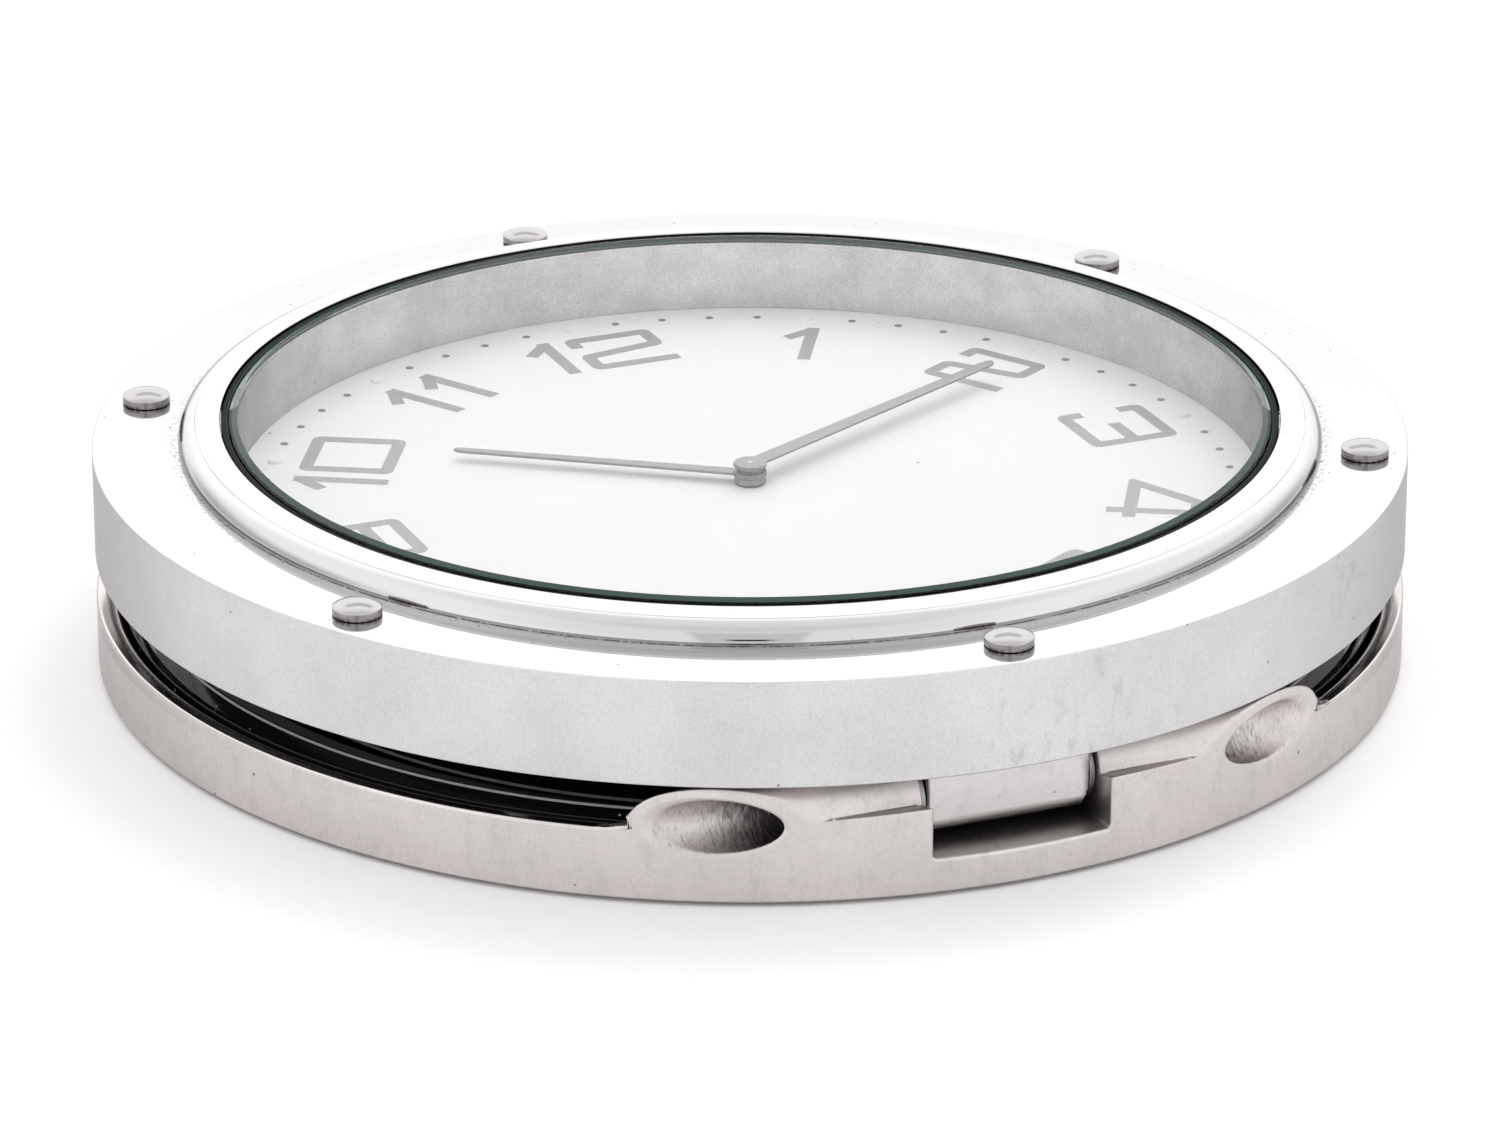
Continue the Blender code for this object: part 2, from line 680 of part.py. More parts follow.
def make_case_ring():
    """Heavy flat steel ring: flange, bezel groove, seal groove and blind holes."""
    groove_inner = seal_inner - seal_groove_play
    groove_outer = seal_inner + seal_width + seal_groove_play
    spigot_in, spigot_out = spigot_inner - spigot_play, spigot_inner + spigot_width + spigot_play
    profile = [(case_bore, case_bottom), (groove_inner, case_bottom)]
    profile += [(groove_inner, case_bottom + seal_height), (groove_outer, case_bottom + seal_height)]
    profile += [(groove_outer, case_bottom), (case_radius - case_edge, case_bottom)]
    profile += [(case_radius, case_bottom + case_edge), (case_radius, case_top - case_edge)]
    profile += [(case_radius - case_edge, case_top), (spigot_out, case_top)]
    groove_floor = case_top - spigot_depth - seat_gap
    profile += [(spigot_out, groove_floor), (spigot_in, groove_floor)]
    profile += [(spigot_in, case_top), (case_bore, case_top)]
    ring = turned("case_ring", profile, satin_steel, ring_steps)
    low = case_top - screw_length - seat_gap
    holes = [turned("hole", disc_profile(screw_radius + press_gap, low, case_top + overrun),
                    satin_steel, screw_steps, polar(screw_circle, turn)) for turn in angles(screw_count, 90)]
    high = cover_lip_bottom + cover_screw_length + seat_gap
    holes += [turned("hole", disc_profile(cover_screw_radius + press_gap, case_bottom - overrun, high),
                     satin_steel, screw_steps, polar(cover_screw_circle, turn))
              for turn in angles(cover_screw_count, 45)]
    holes += [turned("socket", disc_profile(tenon_radius + press_gap, case_bottom - overrun,
                                            case_bottom + tenon_length + seat_gap),
                     satin_steel, screw_steps, (side * tenon_spread / 2, pin_y)) for side in (-1, 1)]
    return cut(ring, *holes)


def make_bezel():
    """Polished bezel ring with a rounded flank and a spigot pressed into the case."""
    low = case_top + bezel_seat_gap
    shoulder = case_top + bezel_shoulder_rise
    span, rise = bezel_outer - bezel_shoulder_radius, shoulder - low - bezel_skirt
    flank = [(bezel_shoulder_radius + span * x, low + bezel_skirt + rise * y)
             for x, y in arc((0.0, 0.0), 1.0, 0, 90, small_arc_steps)]
    profile = [(bezel_inner, low), (spigot_inner, low), (spigot_inner, case_top - spigot_depth)]
    profile += [(spigot_inner + spigot_width, case_top - spigot_depth), (spigot_inner + spigot_width, low)]
    profile += [(bezel_outer, low)] + flank + [(bezel_inner, case_top + bezel_rise)]
    return turned("bezel_ring", profile, polished_steel, ring_steps)


def make_glass():
    """Flat mineral glass with a bevelled edge."""
    profile = [(0.0, glass_bottom), (glass_radius, glass_bottom)]
    profile += [(glass_radius, glass_top - glass_bevel_drop)]
    profile += [(glass_radius - glass_bevel_width, glass_top), (0.0, glass_top)]
    return turned("glass", profile, clear_glass, ring_steps)


def make_gasket():
    """Black seal with a foot under the glass and an upstand round it."""
    top = gasket_foot_top + gasket_upstand
    profile = [(gasket_inner, gasket_foot_bottom), (gasket_outer, gasket_foot_bottom)]
    profile += [(gasket_outer, top), (gasket_bore, top)]
    profile += [(gasket_bore, gasket_foot_top), (gasket_inner, gasket_foot_top)]
    return turned("glass_gasket", profile, black_rubber, ring_steps)


def make_rehaut():
    """Grey inner wall between the dial and the glass."""
    profile = ring_profile(rehaut_inner, rehaut_outer, rehaut_bottom, rehaut_top)
    return turned("rehaut_ring", profile, rehaut_metal, ring_steps)


def make_bezel_screws():
    """Domed screws round the flange, one at every second hour."""
    low = case_top + screw_under_gap
    wall = low + screw_head_wall
    profile = [(0.0, case_top - screw_length), (screw_radius, case_top - screw_length), (screw_radius, low)]
    profile += [(screw_head_radius, low), (screw_head_radius, wall)]
    profile += [(screw_head_radius - screw_head_round, wall + screw_head_dome / 2)]
    profile += [(screw_head_radius / 2, wall + screw_head_dome), (0.0, wall + screw_head_dome)]
    at = polar(screw_circle, math.radians(90))
    made = [turned("bezel_screw_12", profile, polished_steel, head_steps, at)]
    for i in range(1, screw_count):
        name = f"bezel_screw_{12 - 12 * i // screw_count:02d}"
        made.append(copy_of(made[0], name, 2 * math.pi * i / screw_count))
    return made


def make_rear_cover():
    """Black moulded cup that closes the case and sits down in the dish."""
    spigot = case_bore - seat_gap
    profile = [(0.0, cover_bottom), (cover_radius - cover_edge, cover_bottom)]
    profile += [(cover_radius, cover_bottom + cover_edge), (cover_radius, cover_lip_bottom)]
    profile += [(cover_lip_radius, cover_lip_bottom), (cover_lip_radius, cover_lip_top)]
    profile += [(spigot, cover_lip_top), (spigot, cover_rim_top), (cover_radius - cover_wall, cover_rim_top)]
    profile += [(cover_radius - cover_wall, cover_inside), (0.0, cover_inside)]
    cover = turned("rear_cover", profile, black_plastic, ring_steps)
    chord = pin_y + knuckle_radius + free_gap
    tools = [box("hinge_room", (-case_radius, -case_radius, cover_bottom - overrun),
                 (case_radius, chord, case_bottom), black_plastic)]
    tools += [turned("hole", disc_profile(cover_screw_radius + seat_gap, cover_lip_bottom - overrun,
                                          cover_lip_top + overrun),
                     black_plastic, screw_steps, polar(cover_screw_circle, turn))
              for turn in angles(cover_screw_count, 45)]
    mouth, step = hatch_radius + seat_gap, cell_radius + seat_gap
    half = cover_bottom + cover_floor / 2
    well = [(0.0, cover_bottom - overrun), (mouth, cover_bottom - overrun), (mouth, half)]
    well += [(step, half), (step, cover_inside + overrun), (0.0, cover_inside + overrun)]
    tools.append(turned("hatch_well", well, black_plastic, plate_steps, cell_at))
    dip, stem = knob_radius + seat_gap + seat_gap, knob_stem + seat_gap
    recess = [(0.0, cover_bottom - overrun), (dip, cover_bottom - overrun)]
    recess += [(dip, cover_bottom + knob_recess), (stem, cover_bottom + knob_recess)]
    recess += [(stem, cover_inside + overrun), (0.0, cover_inside + overrun)]
    tools.append(turned("knob_well", recess, black_plastic, pin_steps, setting_at))
    return cut(cover, *tools)


def make_cover_seal():
    """Rubber ring in the groove between the cover's lip and the case ring."""
    low = cover_lip_top + press_gap
    profile = ring_profile(seal_inner, seal_inner + seal_width, low, case_bottom + seal_height - press_gap)
    return turned("cover_seal", profile, black_rubber, inner_steps)


def make_cover_screws():
    """Pan head screws through the cover's lip into the case ring."""
    low = cover_lip_bottom - cover_screw_head_height
    profile = [(0.0, low), (cover_screw_head, low), (cover_screw_head, cover_lip_bottom - run_gap)]
    profile += [(cover_screw_radius, cover_lip_bottom - run_gap)]
    profile += [(cover_screw_radius, cover_lip_bottom + cover_screw_length)]
    profile += [(0.0, cover_lip_bottom + cover_screw_length)]
    return [turned(f"cover_screw_{i + 1}", profile, pin_steel, screw_steps, polar(cover_screw_circle, turn))
            for i, turn in enumerate(angles(cover_screw_count, 45))]


def make_battery_hatch():
    """Round hatch with a coin slot, whose plug reaches up to the cell."""
    half = cover_bottom + cover_floor / 2 - run_gap
    plug = cell_radius - seat_gap
    profile = [(0.0, cover_bottom), (hatch_radius, cover_bottom), (hatch_radius, half), (plug, half)]
    profile += [(plug, cell_bottom - run_gap), (0.0, cell_bottom - run_gap)]
    hatch = turned("battery_hatch", profile, black_plastic, plate_steps, cell_at)
    x, y = cell_at
    low = (x - hatch_slot_length / 2, y - hatch_slot_width / 2, cover_bottom - overrun)
    high = (x + hatch_slot_length / 2, y + hatch_slot_width / 2, cover_bottom + hatch_slot_depth)
    slot = box("slot", low, high, black_plastic)
    return cut(hatch, slot)


def make_dial():
    """White painted dial plate with its centre hole."""
    profile = ring_profile(dial_hole, dial_radius, dial_bottom, dial_top)
    return turned("dial", profile, dial_white, ring_steps)


def make_holder():
    """Plastic ring that carries the movement and the dial on the rear cover's rim."""
    neck = cover_radius - cover_wall - seat_gap
    profile = [(holder_inner, holder_bottom), (neck, holder_bottom), (neck, holder_shelf)]
    profile += [(holder_outer, holder_shelf), (holder_outer, holder_top), (holder_inner, holder_top)]
    holder = turned("movement_holder", profile, grey_plastic, inner_steps)
    holes = [turned("hole", disc_profile(movement_screw_radius + press_gap, holder_bottom - overrun,
                                         movement_screw_top + seat_gap),
                    grey_plastic, screw_steps, polar(movement_screw_circle, turn))
             for turn in angles(movement_screw_count, 80)]
    return cut(holder, *holes)


def make_main_plate():
    """Main plate of the movement, drilled for its arbors, post and screws."""
    profile = disc_profile(plate_radius, plate_bottom, plate_top)
    plate = turned("main_plate", profile, grey_plastic, plate_steps)
    spots = [((0.0, 0.0), arbor_radius + run_gap), (intermediate_at, pivot_radius + run_gap)]
    spots += [(rotor_at, pivot_radius + run_gap), (minute_wheel_at, minute_post_radius + press_gap)]
    spots += [(setting_at, knob_stem + run_gap)]
    spots += [(polar(movement_screw_circle, turn), movement_screw_radius + seat_gap)
              for turn in angles(movement_screw_count, 80)]
    tools = [turned("hole", disc_profile(radius, plate_bottom - overrun, plate_top + overrun),
                    grey_plastic, screw_steps, at) for at, radius in spots]
    return cut(plate, *tools)


def make_bridge():
    """Lower cup of the movement, with the other bearings and the cell's opening."""
    rim = plate_bottom - seat_gap
    profile = [(0.0, bridge_bottom), (bridge_radius, bridge_bottom), (bridge_radius, rim)]
    profile += [(bridge_inner, rim), (bridge_inner, bridge_top), (0.0, bridge_top)]
    bridge = turned("movement_bridge", profile, grey_plastic, plate_steps)
    spots = [((0.0, 0.0), arbor_radius + run_gap), (intermediate_at, pivot_radius + run_gap)]
    spots += [(rotor_at, pivot_radius + run_gap), (setting_at, knob_stem + run_gap)]
    spots += [(cell_at, cell_radius + free_gap)]
    tools = [turned("hole", disc_profile(radius, bridge_bottom - overrun, bridge_top + overrun),
                    grey_plastic, screw_steps if radius < cell_radius / 2 else plate_steps, at)
             for at, radius in spots]
    return cut(bridge, *tools)


def make_movement_screws():
    """Small screws that hang the main plate under the holder."""
    low = plate_bottom - movement_screw_head_height
    profile = [(0.0, low), (movement_screw_head, low), (movement_screw_head, plate_bottom - run_gap)]
    profile += [(movement_screw_radius, plate_bottom - run_gap), (movement_screw_radius, movement_screw_top)]
    profile += [(0.0, movement_screw_top)]
    places = [polar(movement_screw_circle, turn) for turn in angles(movement_screw_count, 80)]
    return [turned(f"movement_screw_{i + 1}", profile, pin_steel, screw_steps, at)
            for i, at in enumerate(places)]


def make_minute_post():
    """Fixed post on the main plate that the minute wheel turns on."""
    profile = disc_profile(minute_post_radius, plate_bottom, holder_top - free_gap)
    return turned("minute_wheel_post", profile, pin_steel, screw_steps, minute_wheel_at)


def make_centre_group():
    """Centre arbor with its wheel and cannon pinion, which drive the minute hand."""
    tip = dial_top + minute_blade_height
    profile = [(0.0, bridge_bottom), (arbor_radius, bridge_bottom), (arbor_radius, tip)]
    profile += [(arbor_tip_radius, tip), (arbor_tip_radius, tip + blade_thickness + arbor_tip_rise)]
    profile += [(0.0, tip + blade_thickness + arbor_tip_rise)]
    arbor = turned("centre_arbor", profile, pin_steel, screw_steps)
    bore = arbor_radius + press_gap
    centre = wheel("centre_wheel", centre_teeth, train_module, train_bottom, train_top, bore, brass)
    cannon = wheel("cannon_pinion", cannon_teeth, cannon_module, motion_low, motion_low + wheel_thickness,
                   bore, brass)
    return arbor, centre, cannon


def blade_outline(length, width, tip_width):
    """Outline of a straight tapered hand along +Y with a pointed round tip."""
    shoulder = length - tip_width
    half, tip_half = width / 2, tip_width / 2
    outline = [(half, 0.0), (tip_half, shoulder)]
    point = arc((0.0, 0.0), 1.0, 30, 150, small_arc_steps)
    outline += [(tip_half * x, shoulder + tip_width * y) for x, y in point]
    return outline + [(-tip_half, shoulder), (-half, 0.0)]


def make_hour_hand():
    """Hour hand: a flat tapered blade on a turned collet."""
    low = dial_top + free_gap
    blade = dial_top + hour_blade_height
    top = blade + blade_thickness
    profile = [(0.0, low), (hub_radius, low), (hub_radius, low + blade_thickness / 2)]
    profile += [(hub_neck_radius, low + blade_thickness), (hub_neck_radius, blade - blade_thickness / 2)]
    profile += [(hub_radius, blade - blade_thickness / 4), (hub_radius, top + blade_thickness / 2)]
    profile += [(0.0, top + blade_thickness / 2)]
    hand = turned("hour_hand", profile, hand_metal, pin_steps)
    outline = blade_outline(hour_length, hour_width, hour_tip_width)
    join(hand, extruded("blade", outline, blade, top, hand_metal))
    bore = hour_tube_radius + press_gap
    cut(hand, turned("bore", disc_profile(bore, low - overrun, top + overrun), hand_metal, screw_steps))
    hand.rotation_euler = (0.0, 0.0, hour_hand_turn)
    return hand


def make_minute_hand():
    """Minute hand: a longer and wider blade with a flat round boss."""
    blade = dial_top + minute_blade_height
    low = blade - blade_thickness / 2
    top = blade + blade_thickness
    profile = [(0.0, low), (hub_neck_radius, low), (hub_neck_radius, blade), (hub_radius, blade)]
    profile += [(hub_radius, top), (0.0, top)]
    hand = turned("minute_hand", profile, hand_metal, pin_steps)
    outline = blade_outline(minute_length, minute_width, minute_tip_width)
    join(hand, extruded("blade", outline, blade, top, hand_metal))
    wide, narrow = arbor_radius + press_gap, arbor_tip_radius + press_gap
    pocket = [(0.0, low - overrun), (wide, low - overrun), (wide, blade + press_gap)]
    pocket += [(narrow, blade + press_gap), (narrow, top + overrun), (0.0, top + overrun)]
    cut(hand, turned("bore", pocket, hand_metal, screw_steps))
    hand.rotation_euler = (0.0, 0.0, minute_hand_turn)
    return hand


def make_hour_wheel():
    """Hour wheel with the tube that carries the hour hand through the dial."""
    high = motion_high + wheel_thickness
    made = extruded("hour_wheel", tooth_outline(hour_teeth, hour_module), motion_high, high, brass)
    top = dial_top + hour_blade_height + blade_thickness
    tube = disc_profile(hour_tube_radius, motion_high + wheel_thickness / 2, top)
    join(made, turned("tube", tube, brass, screw_steps))
    bore = disc_profile(arbor_radius + seat_gap, motion_high - overrun, top + overrun)
    return cut(made, turned("bore", bore, brass, screw_steps))


def make_minute_wheel():
    """Minute wheel and its pinion, one piece on a post."""
    low, middle = motion_low, motion_low + wheel_thickness
    made = extruded("minute_wheel", tooth_outline(minute_teeth, cannon_module), low, middle, brass)
    leaves = tooth_outline(minute_pinion_teeth, hour_module)
    join(made, extruded("pinion", leaves, middle - free_gap, motion_high + wheel_thickness, brass))
    bore = disc_profile(minute_post_radius + run_gap, low - overrun, motion_high + overrun + overrun)
    return cut(made, turned("bore", bore, brass, screw_steps))


def make_intermediate_wheel():
    """Intermediate wheel with its pinion and pivots, one piece."""
    low = rotor_low + free_gap
    made = extruded("intermediate_wheel", tooth_outline(intermediate_teeth, rotor_module), low,
                    low + thin_wheel_thickness, brass)
    leaves = tooth_outline(intermediate_pinion_teeth, train_module)
    pinion = extruded("pinion", leaves, low + thin_wheel_thickness / 2, train_top + free_gap, brass)
    pivots = disc_profile(pivot_radius, bridge_bottom, plate_top - free_gap)
    pivots = turned("pivots", pivots, brass, screw_steps)
    return join(made, pinion, pivots)


def make_rotor():
    """Motor rotor: a disc magnet on an arbor with its pinion, one piece."""
    low = rotor_low
    height = thin_wheel_thickness + free_gap + free_gap
    made = extruded("rotor", tooth_outline(rotor_pinion_teeth, rotor_module), low, low + height, magnet_grey)
    magnet_low = stator_bottom + stator_thickness / 2 - rotor_magnet_height / 2
    magnet = disc_profile(rotor_magnet_radius, magnet_low, magnet_low + rotor_magnet_height)
    magnet = turned("magnet", magnet, magnet_grey, head_steps)
    pivots = disc_profile(pivot_radius, bridge_bottom, plate_top - free_gap)
    pivots = turned("pivots", pivots, magnet_grey, screw_steps)
    return join(made, pivots, magnet)


def make_stator():
    """Soft iron stator plate: a bar round the rotor with two legs to the coil."""
    x, y = rotor_at
    right, inner, left = x + stator_back, x - stator_back, x - stator_reach
    leg = stator_half - stator_leg
    outline = [(right, y - stator_half), (right, y + stator_half), (left, y + stator_half)]
    outline += [(left, y + leg), (inner, y + leg), (inner, y - leg), (left, y - leg)]
    outline += [(left, y - stator_half)]
    top = stator_bottom + stator_thickness
    plate = extruded("stator", outline, stator_bottom, top, soft_iron)
    hole = disc_profile(stator_hole, stator_bottom - overrun, top + overrun)
    return cut(plate, turned("hole", hole, soft_iron, head_steps, rotor_at))


def make_coil():
    """Wound coil and the flat iron core through it, under the stator's legs."""
    x, y = rotor_at[0] - coil_offset, rotor_at[1]
    half = stator_half - stator_leg - free_gap
    turns = [2 * math.pi * i / screw_steps for i in range(screw_steps)]
    outline = [(x + coil_radius * math.cos(t), coil_middle + coil_radius * math.sin(t)) for t in turns]
    shape = bmesh.new()
    end = shape.faces.new([shape.verts.new((px, y - half, pz)) for px, pz in outline])
    grown = bmesh.ops.extrude_face_region(shape, geom=[end])
    moved = [item for item in grown["geom"] if isinstance(item, bmesh.types.BMVert)]
    bmesh.ops.translate(shape, verts=moved, vec=(0.0, 2 * half, 0.0))
    coil = new_object("coil", shape, copper_wire)
    slot = core_width / 2 + press_gap
    cut(coil, box("slot", (x - slot, y - half - overrun, core_bottom - press_gap),
                  (x + slot, y + half + overrun, core_top + press_gap), copper_wire))
    core = box("coil_core", (x - core_width / 2, y - stator_half, core_bottom),
               (x + core_width / 2, y + stator_half, core_top), soft_iron)
    return coil, core


def make_cell():
    """Button cell, a stepped steel can."""
    cap = cell_radius - cell_cap_inset
    shoulder = cell_top - seat_gap - seat_gap
    profile = [(0.0, cell_bottom), (cell_radius, cell_bottom), (cell_radius, shoulder)]
    profile += [(cap, shoulder), (cap, cell_top), (0.0, cell_top)]
    return turned("button_cell", profile, cell_steel, plate_steps, cell_at)


def make_board():
    """Circuit board under the main plate, with its quartz can and driver chip."""
    low = board_bottom
    corner = (board_right, board_far, board_top)
    board = box("circuit_board", (board_left, board_near, low), corner, board_green)
    can_x = board_right - crystal_radius - seat_gap
    can_z = low - crystal_radius - run_gap
    outline = arc((can_x, can_z), crystal_radius, 0, 360, screw_steps)[:-1]
    shape = bmesh.new()
    start = board_near + (board_far - board_near - crystal_length) / 2
    end = shape.faces.new([shape.verts.new((x, start, z)) for x, z in outline])
    grown = bmesh.ops.extrude_face_region(shape, geom=[end])
    moved = [item for item in grown["geom"] if isinstance(item, bmesh.types.BMVert)]
    bmesh.ops.translate(shape, verts=moved, vec=(0.0, crystal_length, 0.0))
    can = new_object("quartz_can", shape, cell_steel)
    chip_at = ((board_left + can_x) / 2, (board_near + board_far) / 2)
    dome = [(0.0, low - run_gap), (chip_radius, low - run_gap)]
    dome += [(chip_radius * chip_top_share, low - chip_height * chip_flank_share)]
    dome += [(0.0, low - chip_height)]
    chip = turned("driver_chip", dome[::-1], black_plastic, head_steps, chip_at)
    return board, can, chip


def make_contacts():
    """Two spring leaves from the cell to the board: one over its cap, one on its side."""
    cell_x, cell_y = cell_at
    over = [cell_at, (board_left + leaf_width, board_near + leaf_width)]
    top_leaf = strip("contact_cap", over, leaf_width, leaf_bottom, leaf_bottom + leaf_thickness, brass)
    side_x = cell_x + cell_radius + run_gap
    corner = cell_y + cell_radius / 2
    side = [(side_x, cell_y - cell_radius / 2), (side_x + side_leaf_thickness, cell_y - cell_radius / 2)]
    side += [(side_x + side_leaf_thickness, corner)]
    side += [(board_left + leaf_width, board_near + leaf_width)]
    side += [(board_left + side_leaf_thickness, board_near + leaf_width)]
    side += [(side_x, corner + side_leaf_thickness)]
    side_leaf = extruded("contact_side", side, cell_bottom, cell_bottom + side_leaf_height, brass)
    return top_leaf, side_leaf


def strip(name, ends, width, low, high, material):
    """Flat straight strip between two points."""
    start, end = Vector(ends[0]), Vector(ends[1])
    along = (end - start).normalized()
    across = Vector((-along.y, along.x)) * width / 2
    outline = [tuple(start - across), tuple(end - across), tuple(end + across), tuple(start + across)]
    return extruded(name, outline, low, high, material)


def make_setting_knob():
    """Flat ribbed setting knob in its well, with a stem up through the movement."""
    low = cover_bottom + (knob_recess - knob_thickness) / 2
    pitch = 2 * math.pi / knob_ribs
    outline = []
    for i in range(knob_ribs):
        outline += [polar(knob_radius, pitch * (i - knob_rib_share))]
        outline += [polar(knob_radius, pitch * (i + knob_rib_share))]
        outline += [polar(knob_radius - knob_rib_depth, pitch * (i + 1 / 2))]
    made = extruded("setting_knob", outline, low, low + knob_thickness, black_plastic)
    middle = low + knob_thickness / 2
    stem = [(0.0, middle), (knob_stem, middle), (knob_stem, plate_top + run_gap)]
    stem += [(knob_spindle, plate_top + run_gap), (knob_spindle, motion_high), (0.0, motion_high)]
    return join(made, turned("stem", stem, black_plastic, screw_steps))


def make_setting_wheel():
    """Small wheel on the knob's stem that turns the minute wheel."""
    return wheel("setting_wheel", setting_teeth, cannon_module, motion_low, motion_low + wheel_thickness,
                 knob_spindle + press_gap, brass)


def place_wheels():
    """Set every wheel on its axis with its teeth in the gaps of the next."""
    cannon_turn = minute_hand_turn
    minute_turn = mesh_turn(minute_teeth, cannon_teeth, cannon_turn, minute_wheel_angle)
    hour_turn = mesh_turn(hour_teeth, minute_pinion_teeth, minute_turn, minute_wheel_angle + math.pi)
    setting_turn = mesh_turn(setting_teeth, minute_teeth, minute_turn, setting_angle)
    centre_turn = minute_hand_turn
    intermediate_turn = mesh_turn(intermediate_pinion_teeth, centre_teeth, centre_turn, intermediate_angle)
    rotor_turn = mesh_turn(rotor_pinion_teeth, intermediate_teeth, intermediate_turn, rotor_angle)
    return {"cannon_pinion": ((0.0, 0.0), cannon_turn), "centre_wheel": ((0.0, 0.0), centre_turn),
            "hour_wheel": ((0.0, 0.0), hour_turn), "minute_wheel": (minute_wheel_at, minute_turn),
            "intermediate_wheel": (intermediate_at, intermediate_turn), "rotor": (rotor_at, rotor_turn),
            "setting_wheel": (setting_at, setting_turn), "setting_knob": (setting_at, setting_turn)}


def build():
    """Make every piece and hang it on the axis that it moves about."""
    make_base_dish()
    make_base_pad()
    make_liner()
    make_liner_screws()
    make_cushions()
    make_hinge_pin()
    make_washers()

    case_axis = axis_empty("case_axis", (0.0, pin_y, pin_height))
    case = [make_tongue(), make_case_ring(), make_bezel(), make_glass(), make_gasket(), make_rehaut()]
    case += make_bezel_screws()
    case += [make_rear_cover(), make_cover_seal(), make_battery_hatch(), make_dial(), make_holder()]
    case += make_cover_screws()
    case += [make_main_plate(), make_bridge(), make_minute_post(), make_stator(), make_cell()]
    case += make_movement_screws()
    case += make_coil()
    case += make_board()
    case += make_contacts()

    centre = list(make_centre_group()) + [make_minute_hand()]
    hour = [make_hour_wheel(), make_hour_hand()]
    others = [make_minute_wheel(), make_intermediate_wheel(), make_rotor()]
    others += [make_setting_wheel(), make_setting_knob()]
    places = place_wheels()
    for piece in centre + hour + others:
        if piece.name in places:
            at, turn = places[piece.name]
            piece.location = (at[0], at[1], 0.0)
            piece.rotation_euler = (0.0, 0.0, turn)

    minute_axis = axis_empty("minute_axis", (0.0, 0.0, dial_top))
    hour_axis = axis_empty("hour_axis", (0.0, 0.0, dial_top))
    carry(minute_axis, *centre)
    carry(hour_axis, *hour)
    carry(case_axis, minute_axis, hour_axis, *others, *case)


build()
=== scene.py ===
"""Looks of a round steel desk clock: a heavy case hinged at 6 o'clock to a low steel dish.

The sections follow the clock as it is put together, from the dish on the table up to the
bezel, and then the studio that it is photographed in. Lengths are in metres.
"""
import math
import bmesh
import bpy
import numpy as np
from mathutils import Matrix, Vector


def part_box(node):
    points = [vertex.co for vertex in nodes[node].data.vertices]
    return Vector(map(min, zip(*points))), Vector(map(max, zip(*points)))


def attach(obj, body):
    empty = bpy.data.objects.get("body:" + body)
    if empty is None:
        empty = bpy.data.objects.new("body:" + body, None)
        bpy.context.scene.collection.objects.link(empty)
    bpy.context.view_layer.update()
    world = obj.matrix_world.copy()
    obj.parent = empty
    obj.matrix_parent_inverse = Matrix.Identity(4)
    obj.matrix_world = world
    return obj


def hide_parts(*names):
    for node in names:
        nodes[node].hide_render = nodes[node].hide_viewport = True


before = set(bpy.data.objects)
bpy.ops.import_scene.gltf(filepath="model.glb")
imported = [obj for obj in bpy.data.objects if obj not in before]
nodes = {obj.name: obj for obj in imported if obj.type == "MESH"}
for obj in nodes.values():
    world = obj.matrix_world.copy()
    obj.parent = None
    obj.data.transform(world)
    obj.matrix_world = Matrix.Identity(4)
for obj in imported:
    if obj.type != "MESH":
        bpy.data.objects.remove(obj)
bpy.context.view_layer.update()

# Base dish. A low round dish turned from a bar of stainless steel, then milled: a round-backed
# hinge block is left standing at 6 o'clock, with a notch between two drilled bores whose mouths
# open through the sloping rim. Its outer wall has a fine satin grain, its lip is polished.
MM = 0.001


